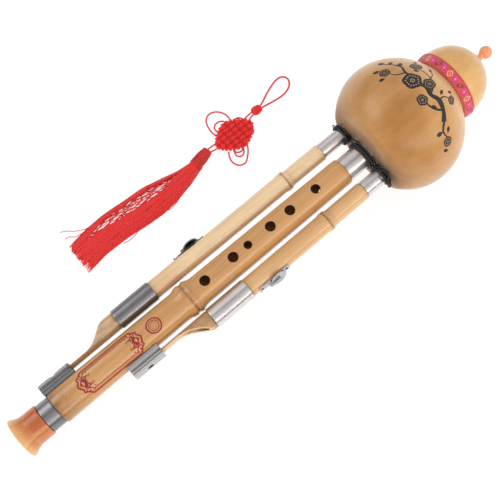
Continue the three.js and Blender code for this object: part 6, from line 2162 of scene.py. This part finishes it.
class HULUSI_OT_switches(bpy.types.Operator):
    """Bent switch plates, sliding knobs and their screws"""
    bl_idname = "hulusi.switches"
    bl_label = "Switches"

    def execute(self, context):
        for side, drone in DRONES.items():
            place = switch_place(side)
            low = drone["lower"] + FIT
            start = drone["knob"] - PLATE_LENGTH * PLATE_KNOB_SHARE
            metal = silver(side + "_drone", 0.3, drone["tone"])
            self.plate(side, drone["knob"], start, low, place, metal)
            self.knob(side, drone["knob"], low + FIT + PLATE_THICKNESS + PLATE_RISE + KNOB_GAP, place, metal)
            for end, at in zip(("low", "high"), PLATE_SCREWS):
                screw = screw_piece(
                    side.title() + "SwitchScrew" + end.title(), start + at, place, seat=low + PLATE_THICKNESS + 0.02,
                    head=(1.1, 0.4), shank=0.6, depth=1.8, slot=0.3,
                )
                mount(screw, side + "_drone", "dark_steel", f"{side}_switch_screw_{end}")
        return {"FINISHED"}

    def plate(self, side, knob, start, low, place, metal):
        """Strip bent over the tone hole and round the pipe, with one end curled up"""
        end, middle = start + PLATE_LENGTH, low + PLATE_THICKNESS / 2
        line = [
            (start + 0.9 - CURL * math.sin(t), middle + CURL - CURL * math.cos(t))
            for t in np.linspace(CURL_SWEEP, 0, 14)
        ]
        first, last, high = start + PLATE_FOOT, end - PLATE_FOOT, middle + PLATE_RISE
        bent = [
            line[-1], (first, middle), (first + PLATE_RAMP, high), (last - PLATE_RAMP, high), (last, middle),
            (end - 0.6, middle), (end - 0.1, middle + 0.4),
        ]
        line += rounded(bent, 0.6, 4, closed=False)[1:]
        line = np.array([p for i, p in enumerate(line) if i == 0 or math.dist(p, line[i - 1]) > 0.02])
        ahead = np.gradient(line, axis=0)
        ahead /= np.linalg.norm(ahead, axis=1, keepdims=True)
        out = np.stack([-ahead[:, 1], ahead[:, 0]], axis=1) * PLATE_THICKNESS / 2
        across = np.linspace(-PLATE_HALF, PLATE_HALF, 9)
        rings = []
        for point, step in zip(line, out):
            spread = [(*(point - step), z) for z in across] + [(*(point + step), z) for z in across[::-1]]
            rings.append([(x, y * math.cos(z / y), y * math.sin(z / y)) for x, y, z in spread])
        plate = lofted(side.title() + "SwitchPlate", rings, metal, place, 30)
        first, last = knob - KNOB_TRAVEL - 1.5, knob + 1.5
        ring = []
        for centre, spin in ((last - SLOT_HALF, -0.5), (first + SLOT_HALF, 0.5)):
            ring += [on_circle((centre, 0), SLOT_HALF, math.pi * (spin + t)) for t in np.linspace(0, 1, 10)]
        slot = [[(x, y, z) for x, z in ring] for y in (low - 0.1, low + PLATE_THICKNESS + 3)]
        carve(plate, [lofted("cutter", slot, metal, place)], sharp=30)
        bevel(plate, 0.1, 50)
        mount(plate, side + "_drone", "dark_steel", side + "_switch_plate")

    def knob(self, side, at, body, place, metal):
        """Ridged button with a turned rim and its stem"""
        ridges = sizes().knob_ridges
        angles = turn_steps(ridges * 8)
        rings = []
        for level, radius, ridged in KNOB_LEVELS:
            r = radius - ridged * RIDGE_DEPTH * (0.5 - 0.5 * np.cos(angles * ridges))
            height = np.full(len(r), body + level)
            rings.append(np.stack([at + r * np.cos(angles), height, r * np.sin(angles)], axis=1))
        poles = tuple((at, body + KNOB_LEVELS[end][0], 0) for end in (0, -1))
        knob = lofted(side.title() + "SwitchKnob", rings, metal, place, 30, poles=poles)
        mount(knob, side + "_switch", "silver", side + "_switch_knob")


# Inner parts
class HULUSI_OT_inner_parts(bpy.types.Operator):
    """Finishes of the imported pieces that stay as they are"""
    bl_idname = "hulusi.inner_parts"
    bl_label = "Inner parts"

    def execute(self, context):
        wax = matt_finish(
            "Beeswax", colours().wax, (0.03, 0.015, 0.005), 400, bump=0.4, depth=0.3, Subsurface_Weight=0.1,
        )
        rubber = matt_finish("DarkRubber", colours().rubber, (0.03, 0.025, 0.02), 1500, 0.7, 0.3, 0.1)
        brass = metal_finish("ReedBrass", "flute", colours().brass, (0.28, 0.16, 0.05), 0.3, 0.25, 0.05)
        looks = {"wax_seal": wax}
        for side in ("left", "right"):
            looks |= {side + "_clip_pad": rubber, side + "_switch_pad": rubber}
        for side in ("main", "left", "right"):
            looks |= {side + "_reed_tube": brass, side + "_reed_plate": brass}
        for node, material in looks.items():
            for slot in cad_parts[node].material_slots:
                slot.material = material
        return {"FINISHED"}


class HULUSI_PT_panel(bpy.types.Panel):
    """Buttons that build the flute"""
    bl_label = "Hulusi"
    bl_idname = "HULUSI_PT_panel"
    bl_space_type = "VIEW_3D"
    bl_region_type = "UI"
    bl_category = "Hulusi"

    def draw(self, context):
        for group in (sizes(), colours()):
            for name in group.__annotations__:
                self.layout.prop(group, name)
        for step in STEPS:
            self.layout.operator(step.bl_idname)


STEPS = (
    HULUSI_OT_stage, HULUSI_OT_tassel_cords, HULUSI_OT_tassel_knots, HULUSI_OT_tassel_skirt, HULUSI_OT_gourd,
    HULUSI_OT_gourd_drawing, HULUSI_OT_main_pipe, HULUSI_OT_bell, HULUSI_OT_ferrules, HULUSI_OT_collars,
    HULUSI_OT_drones, HULUSI_OT_clips, HULUSI_OT_switches, HULUSI_OT_inner_parts,
)
CLASSES = (HulusiSizes, HulusiColours, *STEPS, HULUSI_PT_panel)


def register():
    for kind in CLASSES:
        bpy.utils.register_class(kind)
    bpy.types.Scene.hulusi_sizes = PointerProperty(type=HulusiSizes)
    bpy.types.Scene.hulusi_colours = PointerProperty(type=HulusiColours)


def unregister():
    del bpy.types.Scene.hulusi_colours
    del bpy.types.Scene.hulusi_sizes
    for kind in reversed(CLASSES):
        bpy.utils.unregister_class(kind)


def main():
    register()
    for step in STEPS:
        group, name = step.bl_idname.split(".")
        if getattr(getattr(bpy.ops, group), name)() != {"FINISHED"}:
            raise RuntimeError("Step " + step.bl_label + " did not finish")
    box = [[list(map(float, corner)) for corner in b] for b in (CAD_BOX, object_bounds())]


if __name__ == "__main__":
    main()
